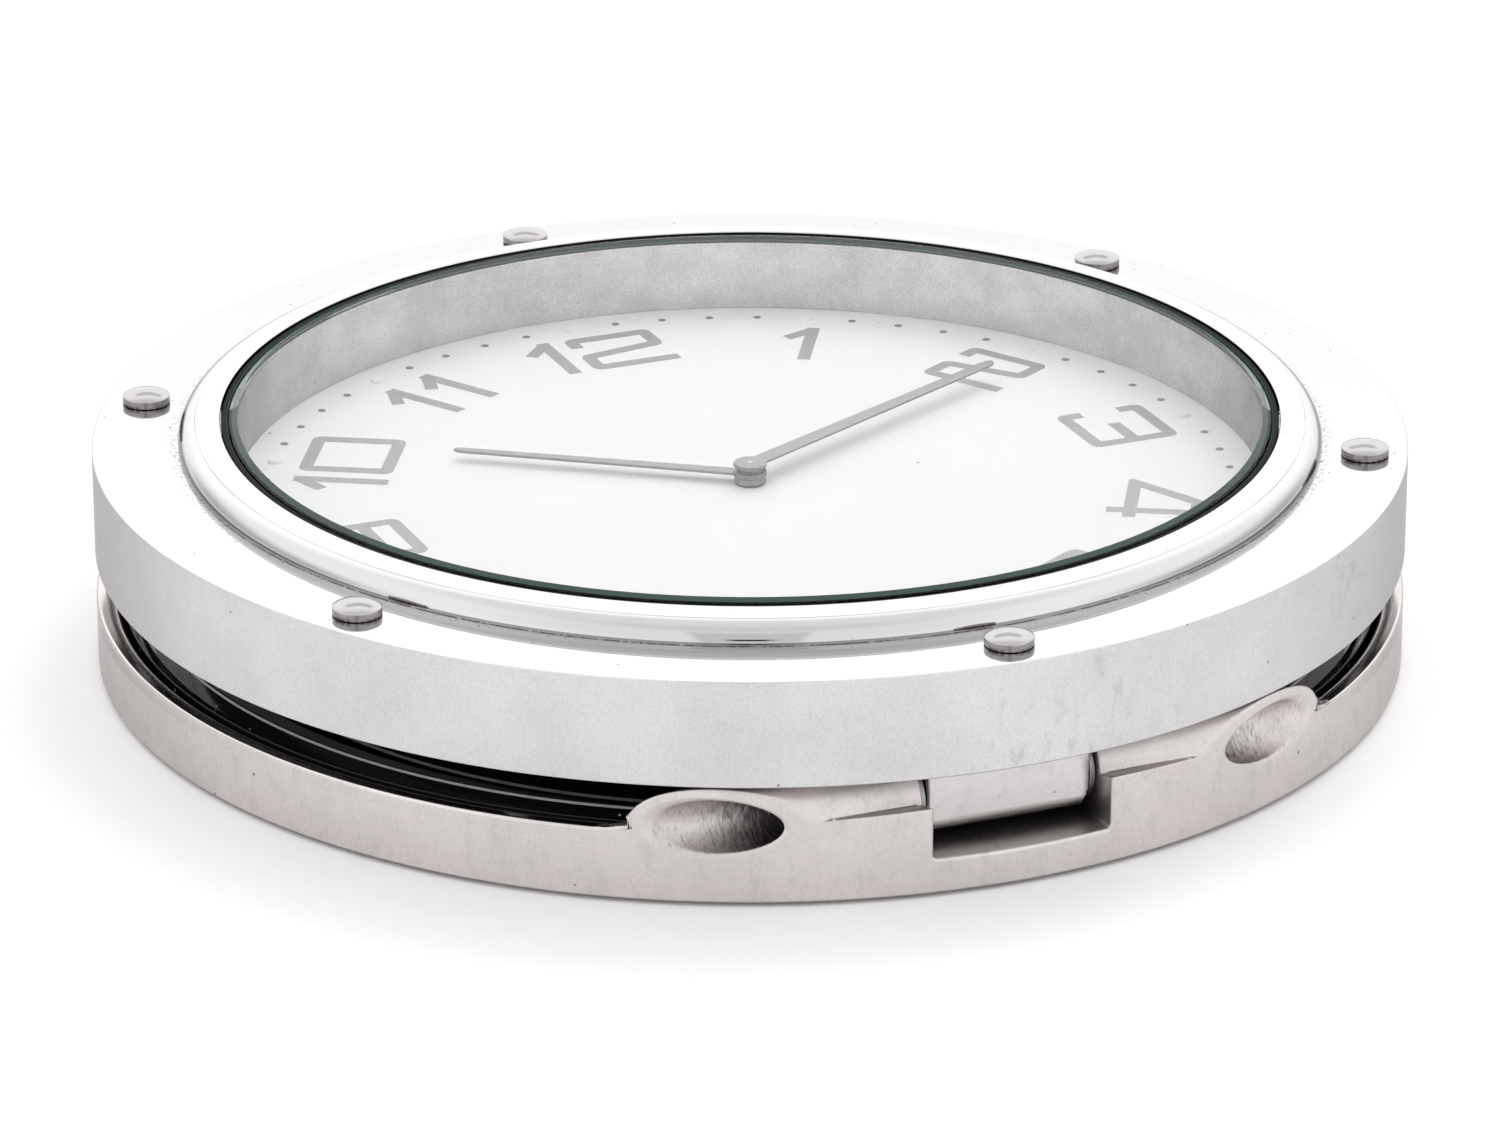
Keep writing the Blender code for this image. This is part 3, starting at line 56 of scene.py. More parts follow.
class Wire:
    """A socket in the node tree of one finish. Sums on it add Math nodes."""

    def __init__(self, tree, socket=None):
        self.tree = tree
        self.socket = socket

    def node(self, kind, settings, values):
        """Add a node, set it up first, then fill its sockets with values or links."""
        made = self.tree.nodes.new("ShaderNode" + kind)
        for name, value in settings.items():
            setattr(made, name, value)
        live = [socket for socket in made.inputs if socket.enabled]
        for name, value in values.items():
            socket = live[name] if isinstance(name, int) else next(s for s in live if s.name == name)
            if isinstance(value, Wire):
                self.tree.links.new(value.socket, socket)
            else:
                socket.default_value = (*value, 1.0) if socket.type == "RGBA" else value
        return Wire(self.tree, next((s for s in made.outputs if s.enabled), None))

    def out(self, name):
        """Another output of the node that this wire comes from."""
        return Wire(self.tree, self.socket.node.outputs[name])

    def math(self, operation, *others):
        return self.node("Math", {"operation": operation}, dict(enumerate((self, *others))))

    def __add__(self, other):
        return self.math("ADD", other)

    __radd__ = __add__

    def __sub__(self, other):
        return self.math("SUBTRACT", other)

    def __rsub__(self, other):
        return self.node("Math", {"operation": "SUBTRACT"}, {0: other, 1: self})

    def __mul__(self, other):
        return self.math("MULTIPLY", other)

    __rmul__ = __mul__

    def __truediv__(self, other):
        return self.math("DIVIDE", other)

    def __pow__(self, other):
        return self.math("POWER", other)

    def between(self, low, high):
        """0 below low, 1 above high, and a soft step between them."""
        return self.node("MapRange", {"interpolation_type": "SMOOTHSTEP"},
                         {"Value": self, "From Min": low, "From Max": high})

    def below(self, low, high):
        """1 below low, 0 above high, and a soft step between them."""
        return 1 - self.between(low, high)

    def size(self):
        """The number without its sign."""
        return self.math("ABSOLUTE")

    def parts(self):
        """The three numbers of a vector."""
        split = self.node("SeparateXYZ", {}, {"Vector": self})
        return split, split.out("Y"), split.out("Z")

    def round_axis(self):
        """How far a place is from the upright axis, and how high."""
        x, y, z = self.parts()
        return (x * x + y * y) ** 0.5, z

    def vector(self, x, y, z):
        return self.node("CombineXYZ", {}, {"X": x, "Y": y, "Z": z})

    def along(self, direction):
        """How far a vector goes in a direction."""
        return self.node("VectorMath", {"operation": "DOT_PRODUCT"}, {0: self, 1: direction}).out("Value")

    def noise(self, scale, detail=3.0, roughness=0.55):
        """Cloudy value from 0 to 1 over this vector."""
        return self.node("TexNoise", {}, {"Vector": self, "Scale": scale, "Detail": detail,
                                          "Roughness": roughness})

    def specks(self, scale, size, share):
        """1 on small round grains, one in a share of the cells of a grid."""
        cell = self.node("TexVoronoi", {}, {"Vector": self, "Scale": scale})
        chosen, _, _ = cell.out("Color").parts()
        return cell.below(size * 0.7, size) * chosen.below(share, share * 1.05)

    def tint(self, plain, marked):
        """Colour that goes from plain at 0 to marked at 1."""
        return self.node("Mix", {"data_type": "RGBA"}, {"Factor": self, "A": plain, "B": marked})

    def fade(self, tone, share):
        """Colour that goes from a tone at 0 to so much of it at 1."""
        return self.tint(tone, tuple(part * share for part in tone))

    def bump(self, distance, strength=1.0):
        """Surface normal raised by this height, of at most a distance."""
        return self.node("Bump", {}, {"Strength": strength, "Distance": distance, "Height": self})


def blank(name):
    """An empty finish, and the wire of places on the clock that its nodes start from."""
    material = bpy.data.materials.new(name)
    material.use_nodes = True
    material.node_tree.nodes.clear()
    return material, Wire(material.node_tree).node("TexCoord", {}, {}).out("Object")


def surface(material, paint, metallic, roughness, normal=None, **others):
    """Close a finish with its shader. Other sockets are named with _ for each space."""
    values = {"Base Color": paint, "Metallic": metallic, "Roughness": roughness}
    if normal:
        values["Normal"] = normal
    values.update((name.replace("_", " "), value) for name, value in others.items())
    start = Wire(material.node_tree)
    start.node("OutputMaterial", {}, {"Surface": start.node("BsdfPrincipled", {}, values)})
    return material


def wear(finish, *names):
    """Give CAD nodes their finish."""
    for name in names:
        nodes[name].data.materials.clear()
        nodes[name].data.materials.append(finish)


def placed(name, data, at=(0, 0, 0), turn=(0, 0, 0)):
    """A new object in the scene."""
    made = bpy.data.objects.new(name, data)
    made.location, made.rotation_euler = at, turn
    bpy.context.scene.collection.objects.link(made)
    return made


def formed(name, shape, at=(0, 0, 0), turn=0):
    """The piece that a bmesh gives."""
    mesh = bpy.data.meshes.new(name)
    shape.to_mesh(mesh)
    shape.free()
    return placed(name, mesh, at, (0, 0, turn))


def smoothed(piece, degrees):
    """Shade a piece smooth, but for edges that turn by more than some degrees."""
    piece.data.shade_smooth()
    piece.data.set_sharp_from_angle(angle=math.radians(degrees))
    return piece


def changed(piece, kind, **settings):
    """Put a piece through a modifier."""
    change = piece.modifiers.new(kind, kind)
    for name, value in settings.items():
        setattr(change, name, value)
    graph = bpy.context.evaluated_depsgraph_get()
    piece.data = bpy.data.meshes.new_from_object(piece.evaluated_get(graph))
    piece.modifiers.clear()


def fit(piece, body, finish, slot, *stands_for):
    """Hang a finished piece on its body, in place of the plain nodes that it stands for."""
    piece.data.materials.append(finish)
    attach(piece, body)
    if stands_for:
        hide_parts(*stands_for)
    return piece


def meet(a, b, edge):
    """Where two solids overlap, with the edge between them rounded."""
    corner = np.hypot(np.maximum(a + edge, 0), np.maximum(b + edge, 0))
    return np.minimum(np.maximum(a, b), -edge) + corner


def weld(a, b, fillet):
    """Both solids together, with a fillet in the corner between them."""
    corner = np.hypot(np.maximum(fillet - a, 0), np.maximum(fillet - b, 0))
    return np.maximum(np.minimum(a, b), fillet) - corner


def settle(points, shape):
    """Bring points onto a shape's surface, and give the way that each faces."""
    step = 0.002 * MM
    for _ in range(5):
        slope = np.stack([shape(*(points + shift).T) - shape(*(points - shift).T)
                          for shift in np.eye(3) * step], 1) / (2 * step)
        square = np.maximum((slope ** 2).sum(1), 0.2)
        points = points - (shape(*points.T) / square)[:, None] * slope
    return points, slope / np.linalg.norm(slope, axis=1)[:, None]


def milled(name, shape, grain, kept, stock=None):
    """A node's plain solid, or what of it lies in a block of stock, worked to a finer shape.

    The shape gives a distance for each point: below zero inside the metal, above it outside.
    """
    piece = placed(name + "_fine", nodes[name].data.copy())
    if stock:
        changed(piece, "BOOLEAN", operation="INTERSECT", object=stock)
        bpy.data.objects.remove(stock)
    changed(piece, "REMESH", mode="VOXEL", voxel_size=grain)
    polished(piece, shape)
    changed(piece, "DECIMATE", ratio=kept)
    polished(piece, shape)
    piece.data.materials.clear()
    return piece


def polished(piece, shape):
    """Bring a piece's surface onto a shape, and shade it as that shape faces."""
    points = np.empty(len(piece.data.vertices) * 3)
    piece.data.vertices.foreach_get("co", points)
    points, facing = settle(points.reshape(-1, 3), shape)
    piece.data.vertices.foreach_set("co", points.ravel())
    piece.data.shade_smooth()
    piece.data.normals_split_custom_set_from_vertices(facing)


def dish_shape(x, y, z):
    """Distance from the surface of the dish."""
    out = np.hypot(x, y)
    from_pin = np.hypot(y - pin_y, z - pin_height)
    rim = meet(z - lip_height, rim_inner - out, lip_round)
    back = meet(y - pin_y - boss_radius, z - pin_height, edge_round)
    ledge = np.maximum(z - pin_height - ledge_height - ledge_slope_share * (ledge_y - y), y - pin_y)
    block = np.minimum(np.minimum(from_pin - boss_radius, back), ledge)
    soft_end = block_fillet + end_fillet * np.clip((out - rim_inner) / (0.3 * MM) + 1, 0, 1)
    top = weld(weld(rim, z - floor_height, floor_fillet), block, soft_end)
    gap = np.maximum(np.abs(x) - notch_half, y - pin_y - boss_radius - MM)
    top = meet(top, -meet(gap, notch_floor - z, notch_corner), notch_edge)
    under = np.minimum(pad_seat_height - z, meet(foot_height - z, pad_seat_radius - out, edge_round))
    body = meet(meet(out - base_radius, under, edge_round), top, edge_round)
    bores = meet(from_pin - bore_radius, bore_start - np.abs(x), bore_end)
    return np.maximum(meet(body, -bores, bore_lip), pin_hole - from_pin)


def base_finish(name, tone):
    """Satin steel, polished on the lip, rough inside the bores and the notch, with dark streaks and
    painted shade that darken the bores towards their deep ends and the notch towards its back.
    """
    material, place = blank(name)
    x, y, z = place.parts()
    across = x.size()
    out = (x * x + y * y) ** 0.5
    from_pin = ((y - pin_y) ** 2 + (z - pin_height) ** 2) ** 0.5
    in_bore = from_pin.below(bore_radius + 0.02 * MM, bore_radius + 0.12 * MM) * across.between(
        notch_half + 2 * MM, notch_half + 3 * MM)
    in_notch = across.below(notch_half - 0.05 * MM, notch_half + 0.15 * MM) * (
        out.below(base_radius - 0.25 * MM, base_radius - 0.05 * MM)) * z.between(MM, 1.5 * MM)
    off_block = (across + y - pin_y).between(block_half, block_half + MM)
    lip = z.between(lip_height - 1.20 * MM, lip_height - 0.90 * MM) * (
        z.below(lip_height + 0.02 * MM, lip_height + 0.10 * MM)) * (
        out.between(rim_inner - MM, rim_inner)) * off_block
    grain = place.vector(x * 6500, y * 6500, z * 3200).noise(1.0, 3.0, 0.65)
    clouds = place.noise(130, 4.0, 0.6).between(0.3, 0.7)
    smudges = place.vector(x * 900, y * 900, z * 450).noise(1.0, 5.0, 0.7).between(0.50, 0.72)
    drilled = place.vector(x * 6500, y * 1500, z * 1500).noise(1.0, 4.0, 0.7)
    # Painted shade: the bores get darker towards their deep ends, and the notch darker towards its back
    # and lighter towards its mouth, over streaks, smudges and grains that are real.
    depth = across.below(bore_start + MM, bore_start + 8 * MM)
    toward_front = out.between(base_radius - 2.6 * MM, base_radius - 0.6 * MM)
    streaks_and_painted_shade = ((drilled * 1.8 + depth * 0.62).between(0.85, 1.55) * in_bore).math("MAXIMUM", in_notch * (
        0.76 - toward_front * 0.76 + smudges * 0.15 - place.specks(2400, 0.3, 0.25) * 0.4))
    pits = place.specks(1500, 0.20, 0.008)
    shade = clouds * 0.20 + grain.between(0.3, 0.7) * 0.20 + smudges * 0.20
    satin = (clouds * 0.06 + grain * 0.10 + smudges * 0.06 + 0.27) * (1 - lip * 0.7)
    # Pits are real specks of grime; the rest is the painted shade and streaks of the bores and the notch.
    pits_and_painted_shade = (pits * 0.9).math("MAXIMUM", streaks_and_painted_shade * 0.85)
    return surface(material, pits_and_painted_shade.tint(shade.fade(tone, 0.55), (0.07, 0.06, 0.058)), 1.0 - pits * 0.8,
                   satin + in_bore * 0.06 + 0.05,
                   ((grain * 0.10 + clouds * 0.10) * (1 - lip) + drilled * in_bore).bump(0.05 * MM, 0.8),
                   Specular_Tint=(0.60, 0.60, 0.60))


base_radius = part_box("base_dish")[1].x
foot_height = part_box("base_dish")[0].z
pin_y = sum(corner.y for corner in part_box("hinge_pin")) / 2
pin_height = sum(corner.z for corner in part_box("hinge_pin")) / 2
boss_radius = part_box("base_dish")[1].z - pin_height
lip_height = 5.11 * MM
rim_inner = base_radius - 1.7 * MM
floor_height = 1.75 * MM
floor_fillet = 0.30 * MM
pad_seat_radius = base_radius - 5.2 * MM
pad_seat_height = 0.75 * MM
ledge_height = 0.24 * MM
ledge_slope_share = 0.27
ledge_y = pin_y - math.sqrt(boss_radius ** 2 - ledge_height ** 2)
block_fillet = 0.08 * MM
end_fillet = 1.3 * MM
notch_half = 6.25 * MM
notch_floor = 2.65 * MM
notch_edge = 0.20 * MM
notch_corner = 0.30 * MM
bore_radius = 1.8 * MM
bore_start = 12.7 * MM
bore_lip = 0.35 * MM
bore_end = 1.1 * MM
pin_hole = 1.28 * MM
edge_round = 0.22 * MM
lip_round = 1.10 * MM
block_half, block_back = 27.5 * MM, pin_y + 3.6 * MM


def extruded(name, outline, low, high, at=(0.0, 0.0), turn=0.0):
    """Upright prism over an outline of (x, y) points, at a place and turned about it."""
    shape = bmesh.new()
    floor = shape.faces.new([shape.verts.new((x, y, low)) for x, y in outline])
    grown = bmesh.ops.extrude_face_region(shape, geom=[floor])
    raised = [item for item in grown["geom"] if isinstance(item, bmesh.types.BMVert)]
    bmesh.ops.translate(shape, verts=raised, vec=(0.0, 0.0, high - low))
    bmesh.ops.recalc_face_normals(shape, faces=shape.faces)
    return formed(name, shape, (*at, 0), turn)


def rounded(corners):
    """Outline through (radius, height, fillet) corners, with the way each side of a point faces.

    A sharp corner has no fillet. A pair as fillet gives how much of the side before and after
    the corner it takes.
    """
    ring = corners[0][0] > 0
    count = len(corners)
    outline = []
    for i, (radius, height, *fillet) in enumerate(corners):
        fillet = fillet[0] if fillet else 0
        here = Vector((radius, height))
        before = Vector(corners[i - 1][:2]) if ring or i > 0 else None
        after = Vector(corners[(i + 1) % count][:2]) if ring or i < count - 1 else None
        into = (here - before).normalized() if before else None
        onto = (after - here).normalized() if after else None
        into, onto = into or onto, onto or into
        turn = abs(math.atan2(into.x * onto.y - into.y * onto.x, into.dot(onto)))
        if not fillet or turn < math.radians(1):
            outline.append((here, Vector((into.y, -into.x)), Vector((onto.y, -onto.x))))
            continue
        wide = isinstance(fillet, tuple)
        back, ahead = fillet if wide else (fillet * math.tan(turn / 2),) * 2
        centre = here - into * back + onto * ahead
        steps = 20 if wide else max(3, round(math.degrees(turn) / 15))
        for step in range(steps + 1):
            c, s = math.cos(math.pi / 2 * step / steps), math.sin(math.pi / 2 * step / steps)
            along = onto * ahead * s + into * back * c
            facing = Vector((along.y, -along.x)).normalized()
            outline.append((centre - onto * ahead * c + into * back * s, facing, facing))
    return outline, ring


def spun(name, corners, steps=240, at=(0.0, 0.0)):
    """Piece turned on a lathe: (radius, height, fillet) corners spun about an upright axis."""
    outline, ring = rounded(corners)
    axis = 0.001 * MM
    verts, faces, facings, first = [], [], [], []
    around = [(math.cos(2 * math.pi * j / steps), math.sin(2 * math.pi * j / steps)) for j in range(steps)]
    for (radius, height), _, _ in outline:
        first.append(len(verts))
        if radius < axis:
            verts.append((0.0, 0.0, height))
        else:
            verts += [(radius * c, radius * s, height) for c, s in around]
    for i in range(len(outline) if ring else len(outline) - 1):
        k = (i + 1) % len(outline)
        low, high = outline[i], outline[k]
        for j in range(steps):
            n = (j + 1) % steps
            corner = [(i, j, low[2]), (i, n, low[2]), (k, n, high[1]), (k, j, high[1])]
            if low[0].x < axis:
                corner.pop(1)
            if high[0].x < axis:
                corner.pop(2)
            face = [first[row] + (spot if outline[row][0].x >= axis else 0)
                    for row, spot, _ in corner]
            faces.append(face)
            facings += [(facing.x * around[spot][0], facing.x * around[spot][1], facing.y)
                        for _, spot, facing in corner]
    mesh = bpy.data.meshes.new(name)
    mesh.from_pydata(verts, [], faces)
    mesh.shade_smooth()
    mesh.normals_split_custom_set(facings)
    return placed(name, mesh, (*at, 0))


def parted(piece, inside):
    """Cut a piece round the hinge block, and keep what is inside or outside."""
    shape = bmesh.new()
    shape.from_mesh(piece.data)
    for place, way in ((block_half, (1, 0, 0)), (-block_half, (1, 0, 0)), (block_back, (0, 1, 0))):
        everything = shape.verts[:] + shape.edges[:] + shape.faces[:]
        bmesh.ops.bisect_plane(shape, geom=everything, plane_co=Vector(way) * place, plane_no=way)
    gone = []
    for face in shape.faces:
        middle = face.calc_center_median()
        if (abs(middle.x) < block_half and middle.y < block_back) != inside:
            gone.append(face)
    bmesh.ops.delete(shape, geom=gone, context="FACES")
    shape.to_mesh(piece.data)
    shape.free()
    polished(piece, dish_shape)
    return piece


dish = parted(spun("base_dish_fine", [
    (0, pad_seat_height), (pad_seat_radius, pad_seat_height), (pad_seat_radius, foot_height, edge_round),
    (base_radius, foot_height, edge_round), (base_radius, lip_height, edge_round),
    (rim_inner, lip_height, lip_round), (rim_inner, floor_height, floor_fillet),
    (0, floor_height)], 360), False)
wide, near, far = block_half + 2.5 * MM, block_back + 2.5 * MM, -base_radius - MM
stock = extruded("stock", [(-wide, far), (wide, far), (wide, near), (-wide, near)], -MM, 10 * MM)
block_grain = 0.11 * MM
block = parted(milled("base_dish", dish_shape, block_grain, 0.5, stock), True)
dish_steel = base_finish("dish_steel", (0.71, 0.663, 0.654))
fit(dish, "base", dish_steel, "base_steel")
fit(block, "base", dish_steel, "base_steel", "base_dish")

# Foot pad. A disc of black rubber let into the underside of the dish, glued all over, with a
# fine moulded grain. It is all that touches the table.


def rubber(name, tone, dull):
    """Moulded rubber with a fine leathery grain and a little pale dust."""
    material, place = blank(name)
    grain = place.noise(5200, 3.0)
    dust = place.noise(900, 4.0).between(0.60, 0.75)
    paint = (dust * 0.5).tint(tone, (0.09, 0.09, 0.09))
    return surface(material, paint, 0.0, grain * 0.2 + dull, grain.bump(0.01 * MM, 0.6))


black_rubber = rubber("seal_rubber", (0.012, 0.012, 0.013), 0.45)
pad_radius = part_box("base_pad")[1].x
pad_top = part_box("base_pad")[1].z
pad = spun("foot_pad", [(0, 0.0), (pad_radius, 0.0, 0.15 * MM), (pad_radius, pad_top, 0.05 * MM),
                        (0, pad_top)])
fit(pad, "base", black_rubber, "black_rubber", "base_pad")

# Liner. One moulding of glossy black plastic that fills the dish, with a ridge and a groove
# round its edge and a sloping wall, held down by three countersunk screws. It ends in a
# straight edge behind the hinge block.
liner_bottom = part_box("dish_liner")[0].z
liner_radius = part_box("dish_liner")[1].x
liner_top = 2.60 * MM
liner_back = pin_y + boss_radius + 0.15 * MM
liner_edge_height = 4.95 * MM
groove_radius, groove_height = 42.4 * MM, 4.55 * MM
ridge_radius, ridge_height = 41.5 * MM, 5.15 * MM
slope_radius, slope_height, slope_foot = 39.6 * MM, 4.60 * MM, 38.9 * MM


def sliced(piece, back):
    """Saw a spun piece straight across, and keep what lies behind the cut."""
    shape = bmesh.new()
    shape.from_mesh(piece.data)
    everything = shape.verts[:] + shape.edges[:] + shape.faces[:]
    cut = bmesh.ops.bisect_plane(shape, geom=everything, plane_co=(0.0, back, 0.0),
                                 plane_no=(0.0, 1.0, 0.0), clear_inner=True)
    rim = [item for item in cut["geom_cut"] if isinstance(item, bmesh.types.BMEdge)]
    bmesh.ops.triangle_fill(shape, edges=rim, use_beauty=True)
    bmesh.ops.recalc_face_normals(shape, faces=shape.faces)
    shape.to_mesh(piece.data)
    shape.free()
    return smoothed(piece, 40)


def glossy_plastic(name, tone, dull, highlight_band):
    """Moulded plastic with a gloss, scuffs and dust, and a painted highlight: a pale line round a (radius,
    low, high).
    """
    material, place = blank(name)
    out, z = place.round_axis()
    radius, low, high = highlight_band
    # Painted highlight: a pale band along the edge at this radius and height, blotchy in strength, which
    # stands for the light that the edge catches in the dark gap.
    line = out.between(radius - 0.03 * MM, radius) * z.between(low - 0.02 * MM, low) * (
        z.below(high, high + 0.02 * MM)) * out.below(radius + 0.10 * MM, radius + 0.13 * MM)
    painted_highlight = line * (place.noise(1500, 4.0).between(0.2, 0.5) * 0.4 + 0.6)
    haze = place.noise(240, 4.0)
    dust = place.specks(1300, 0.16, 0.05) + place.specks(520, 0.07, 0.08)
    paint = dust.math("MINIMUM", 1.0).tint(tone, (0.30, 0.29, 0.28))
    return surface(material, painted_highlight.tint(paint, (0.34, 0.33, 0.33)), 0.0, haze * 0.06 + dust * 0.5 + dull,
                   haze.bump(0.004 * MM, 0.3))


liner = spun("dish_liner_fine", [
    (0, liner_bottom), (liner_radius, liner_bottom), (liner_radius, liner_edge_height, 0.06 * MM),
    (groove_radius, groove_height, 0.05 * MM),
    (ridge_radius + 0.05 * MM, ridge_height - 0.14 * MM, 0.03 * MM),
    (ridge_radius, ridge_height, 0.05 * MM), (ridge_radius - 0.15 * MM, ridge_height, 0.1 * MM),
    (slope_radius, slope_height, 0.05 * MM), (slope_foot, liner_top, 0.2 * MM), (0, liner_top)])
# The liner has a painted highlight along the top of its ridge.
black_gloss = glossy_plastic("black_gloss", (0.006, 0.006, 0.007), 0.05,
                             (ridge_radius, ridge_height - 0.14 * MM, ridge_height))
fit(sliced(liner, liner_back), "base", black_gloss, "black_plastic", "dish_liner")


def screw_steel(name, tone, dull):
    """Turned steel of small screws and pins: fine rings round the axis, and a blunt polish."""
    material, place = blank(name)
    out, z = place.round_axis()
    rings = place.vector(out * 9000, z * 9000, 0.0).noise(1.0, 2.0)
    smears = place.noise(900, 3.0)
    return surface(material, (smears * 0.3).fade(tone, 0.7), 1.0, smears * 0.12 + rings * 0.06 + dull,
                   rings.bump(0.002 * MM, 0.4))


pin_steel = screw_steel("pin_metal", (0.50, 0.49, 0.48), 0.18)


def bored(piece, *cutters):
    """Cut other shapes out of a piece, and clear them away."""
    for cutter in cutters:
        changed(piece, "BOOLEAN", operation="DIFFERENCE", object=cutter)
        bpy.data.objects.remove(cutter)
    return smoothed(piece, 30)


def cross_recess(at, reach, low, high, turn):
    """Cutter for the cross in a screw's head."""
    arm = reach * 0.28
    corner = [(arm, -arm), (reach, -arm), (reach, arm)]
    outline = []
    for quarter in range(4):
        c, s = round(math.cos(math.pi * quarter / 2)), round(math.sin(math.pi * quarter / 2))
        outline += [(x * c - y * s, x * s + y * c) for x, y in corner]
    return extruded("cross", outline, low, high, at, turn)


def on_circle(radius, bearing):
    """Where a bearing in degrees meets a circle round the axis."""
    return radius * math.cos(math.radians(bearing)), radius * math.sin(math.radians(bearing))


screw_hole_circle = 25.0 * MM
head, shank = 1.6 * MM, 0.8 * MM
for i in range(3):
    name = f"liner_screw_{i + 1}"
    low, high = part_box(name)
    spot = on_circle(screw_hole_circle, 30 + 120 * i)
    screw = spun(name + "_fine", [(0, low.z), (shank, low.z, 0.1 * MM), (shank, liner_bottom + 0.1 * MM),
                                  (head, high.z - 0.05 * MM, 0.02 * MM), (head, high.z, 0.02 * MM),
                                  (0, high.z)], 48, spot)
    bored(screw, cross_recess(spot, 0.95 * MM, high.z - 0.5 * MM, high.z + MM, i))
    fit(screw, "base", pin_steel, "pin_steel", name)

# Rest cushions. Three buttons of soft black rubber stuck on the liner, which the closed case
# lies on without a rattle.
for i in range(3):
    name = f"rest_cushion_{i + 1}"
    low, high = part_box(name)
    spot = ((low.x + high.x) / 2, (low.y + high.y) / 2)
    radius = (high.x - low.x) / 2
    button = spun(name + "_fine", [(0, low.z), (radius, low.z, 0.05 * MM),
                                   (radius, high.z, (0.35 * MM, 0.55 * MM)), (0, high.z)], 48, spot)
    fit(button, "base", black_rubber, "black_rubber", name)

# Hinge pin and washers. A ground steel pin is pressed into both lugs of the block, and the
# tongue turns on it between two washers, which set how stiffly the case tilts.


def lying(piece, at_x):
    """Lay a spun piece down along the hinge's axis."""
    piece.rotation_euler = (0.0, math.radians(90), 0.0)
    piece.location = (at_x, pin_y, pin_height)
    return piece


pin_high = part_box("hinge_pin")[1]
pin_radius = pin_high.z - pin_height
pin_half = pin_high.x
pin = spun("hinge_pin_fine", [(0, -pin_half), (pin_radius, -pin_half, 0.15 * MM),
                              (pin_radius, pin_half, 0.15 * MM), (0, pin_half)], 48)
fit(lying(pin, 0.0), "base", pin_steel, "pin_steel", "hinge_pin")
washer_steel = screw_steel("washer_metal", (0.34, 0.335, 0.34), 0.30)
for side in ("left", "right"):
    low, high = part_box(f"hinge_washer_{side}")
    half, radius = (high.x - low.x) / 2, high.z - pin_height
    washer = spun(f"hinge_washer_{side}_fine", [
        (pin_radius + 0.04 * MM, -half, 0.03 * MM), (radius, -half, 0.08 * MM),
        (radius, half, 0.08 * MM), (pin_radius + 0.04 * MM, half, 0.03 * MM)], 64)
    fit(lying(washer, (low.x + high.x) / 2), "base", washer_steel, "white_nylon", f"hinge_washer_{side}")

# Case ring. A heavy flat steel flange, turned all over. Its wall has the same satin grain as
# the dish, and its top is a mirror with hairlines, dust and dried polish in the crease along
# the bezel.
ring_low, ring_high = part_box("case_ring")
case_bottom, case_top, case_radius = ring_low.z, ring_high.z, ring_high.x
case_bore = 36.10 * MM
seal_groove_inner, seal_groove_outer = 36.80 * MM, 37.80 * MM
seal_groove_top = case_bottom + 0.60 * MM
spigot_inner, spigot_outer = 37.10 * MM, 37.90 * MM
spigot_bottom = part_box("bezel_ring")[0].z
trench_inner, trench_outer = spigot_inner - 0.10 * MM, spigot_outer + 0.10 * MM
trench_floor = spigot_bottom - 0.10 * MM
bezel_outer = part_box("bezel_ring")[1].x


def flange_steel(name, tone):
    """Satin wall under a polished top, with soil along the foot of the bezel."""
    material, place = blank(name)
    x, y, z = place.parts()
    out = (x * x + y * y) ** 0.5
    round_the_wall = y.math("ARCTAN2", x) * case_radius
    top = z.between(case_top - 0.10 * MM, case_top - 0.03 * MM) + z.below(
        case_bottom + 0.02 * MM, case_bottom + 0.08 * MM)
    grain = place.vector(x * 6500, y * 6500, z * 5000).noise(1.0, 3.0, 0.65)
    clouds = place.noise(120, 4.0, 0.6).between(0.3, 0.7)
    smudges = place.vector(round_the_wall * 950, out * 500, z * 420).noise(1.0, 5.0, 0.72)
    smudges = smudges.between(0.50, 0.74)
    stains = place.noise(75, 2.0).between(0.50, 0.62)
    crease = out.below(bezel_outer, bezel_outer + 1.4 * MM)
    soil = (place.noise(3400, 5.0, 0.75).between(0.53, 0.61) * crease * crease).math(
        "MAXIMUM", place.specks(2300, 0.30, 0.08) * crease.between(0.3, 0.6)) * top
    pits = place.specks(1500, 0.16, 0.008) * (1 - top) + place.specks(1900, 0.18, 0.02) * top
    hairs = place.vector(x * 300 + clouds * 3, y * 2600, z).noise(1.0, 3.0).between(0.60, 0.70)
    shade = clouds * 0.22 + grain.between(0.3, 0.7) * 0.34 + smudges * stains * 0.60
    metal = top.tint((shade * 0.56 + 0.14).fade(tone, 0.50), (0.785, 0.778, 0.781))
    grime = (soil * 0.8 + pits * 0.8).math("MINIMUM", 1.0)
    satin = clouds * 0.06 + grain * 0.14 + smudges * stains * 0.08 + 0.30
    return surface(material, grime.tint(metal, (0.09, 0.075, 0.07)), 1.0 - grime * 0.9,
                   (1 - top) * satin + soil * 0.4 + hairs * top * 0.08 + 0.03,
                   (grain * (1 - top)).bump(0.006 * MM, 0.7), Specular_Tint=(0.42, 0.42, 0.42))


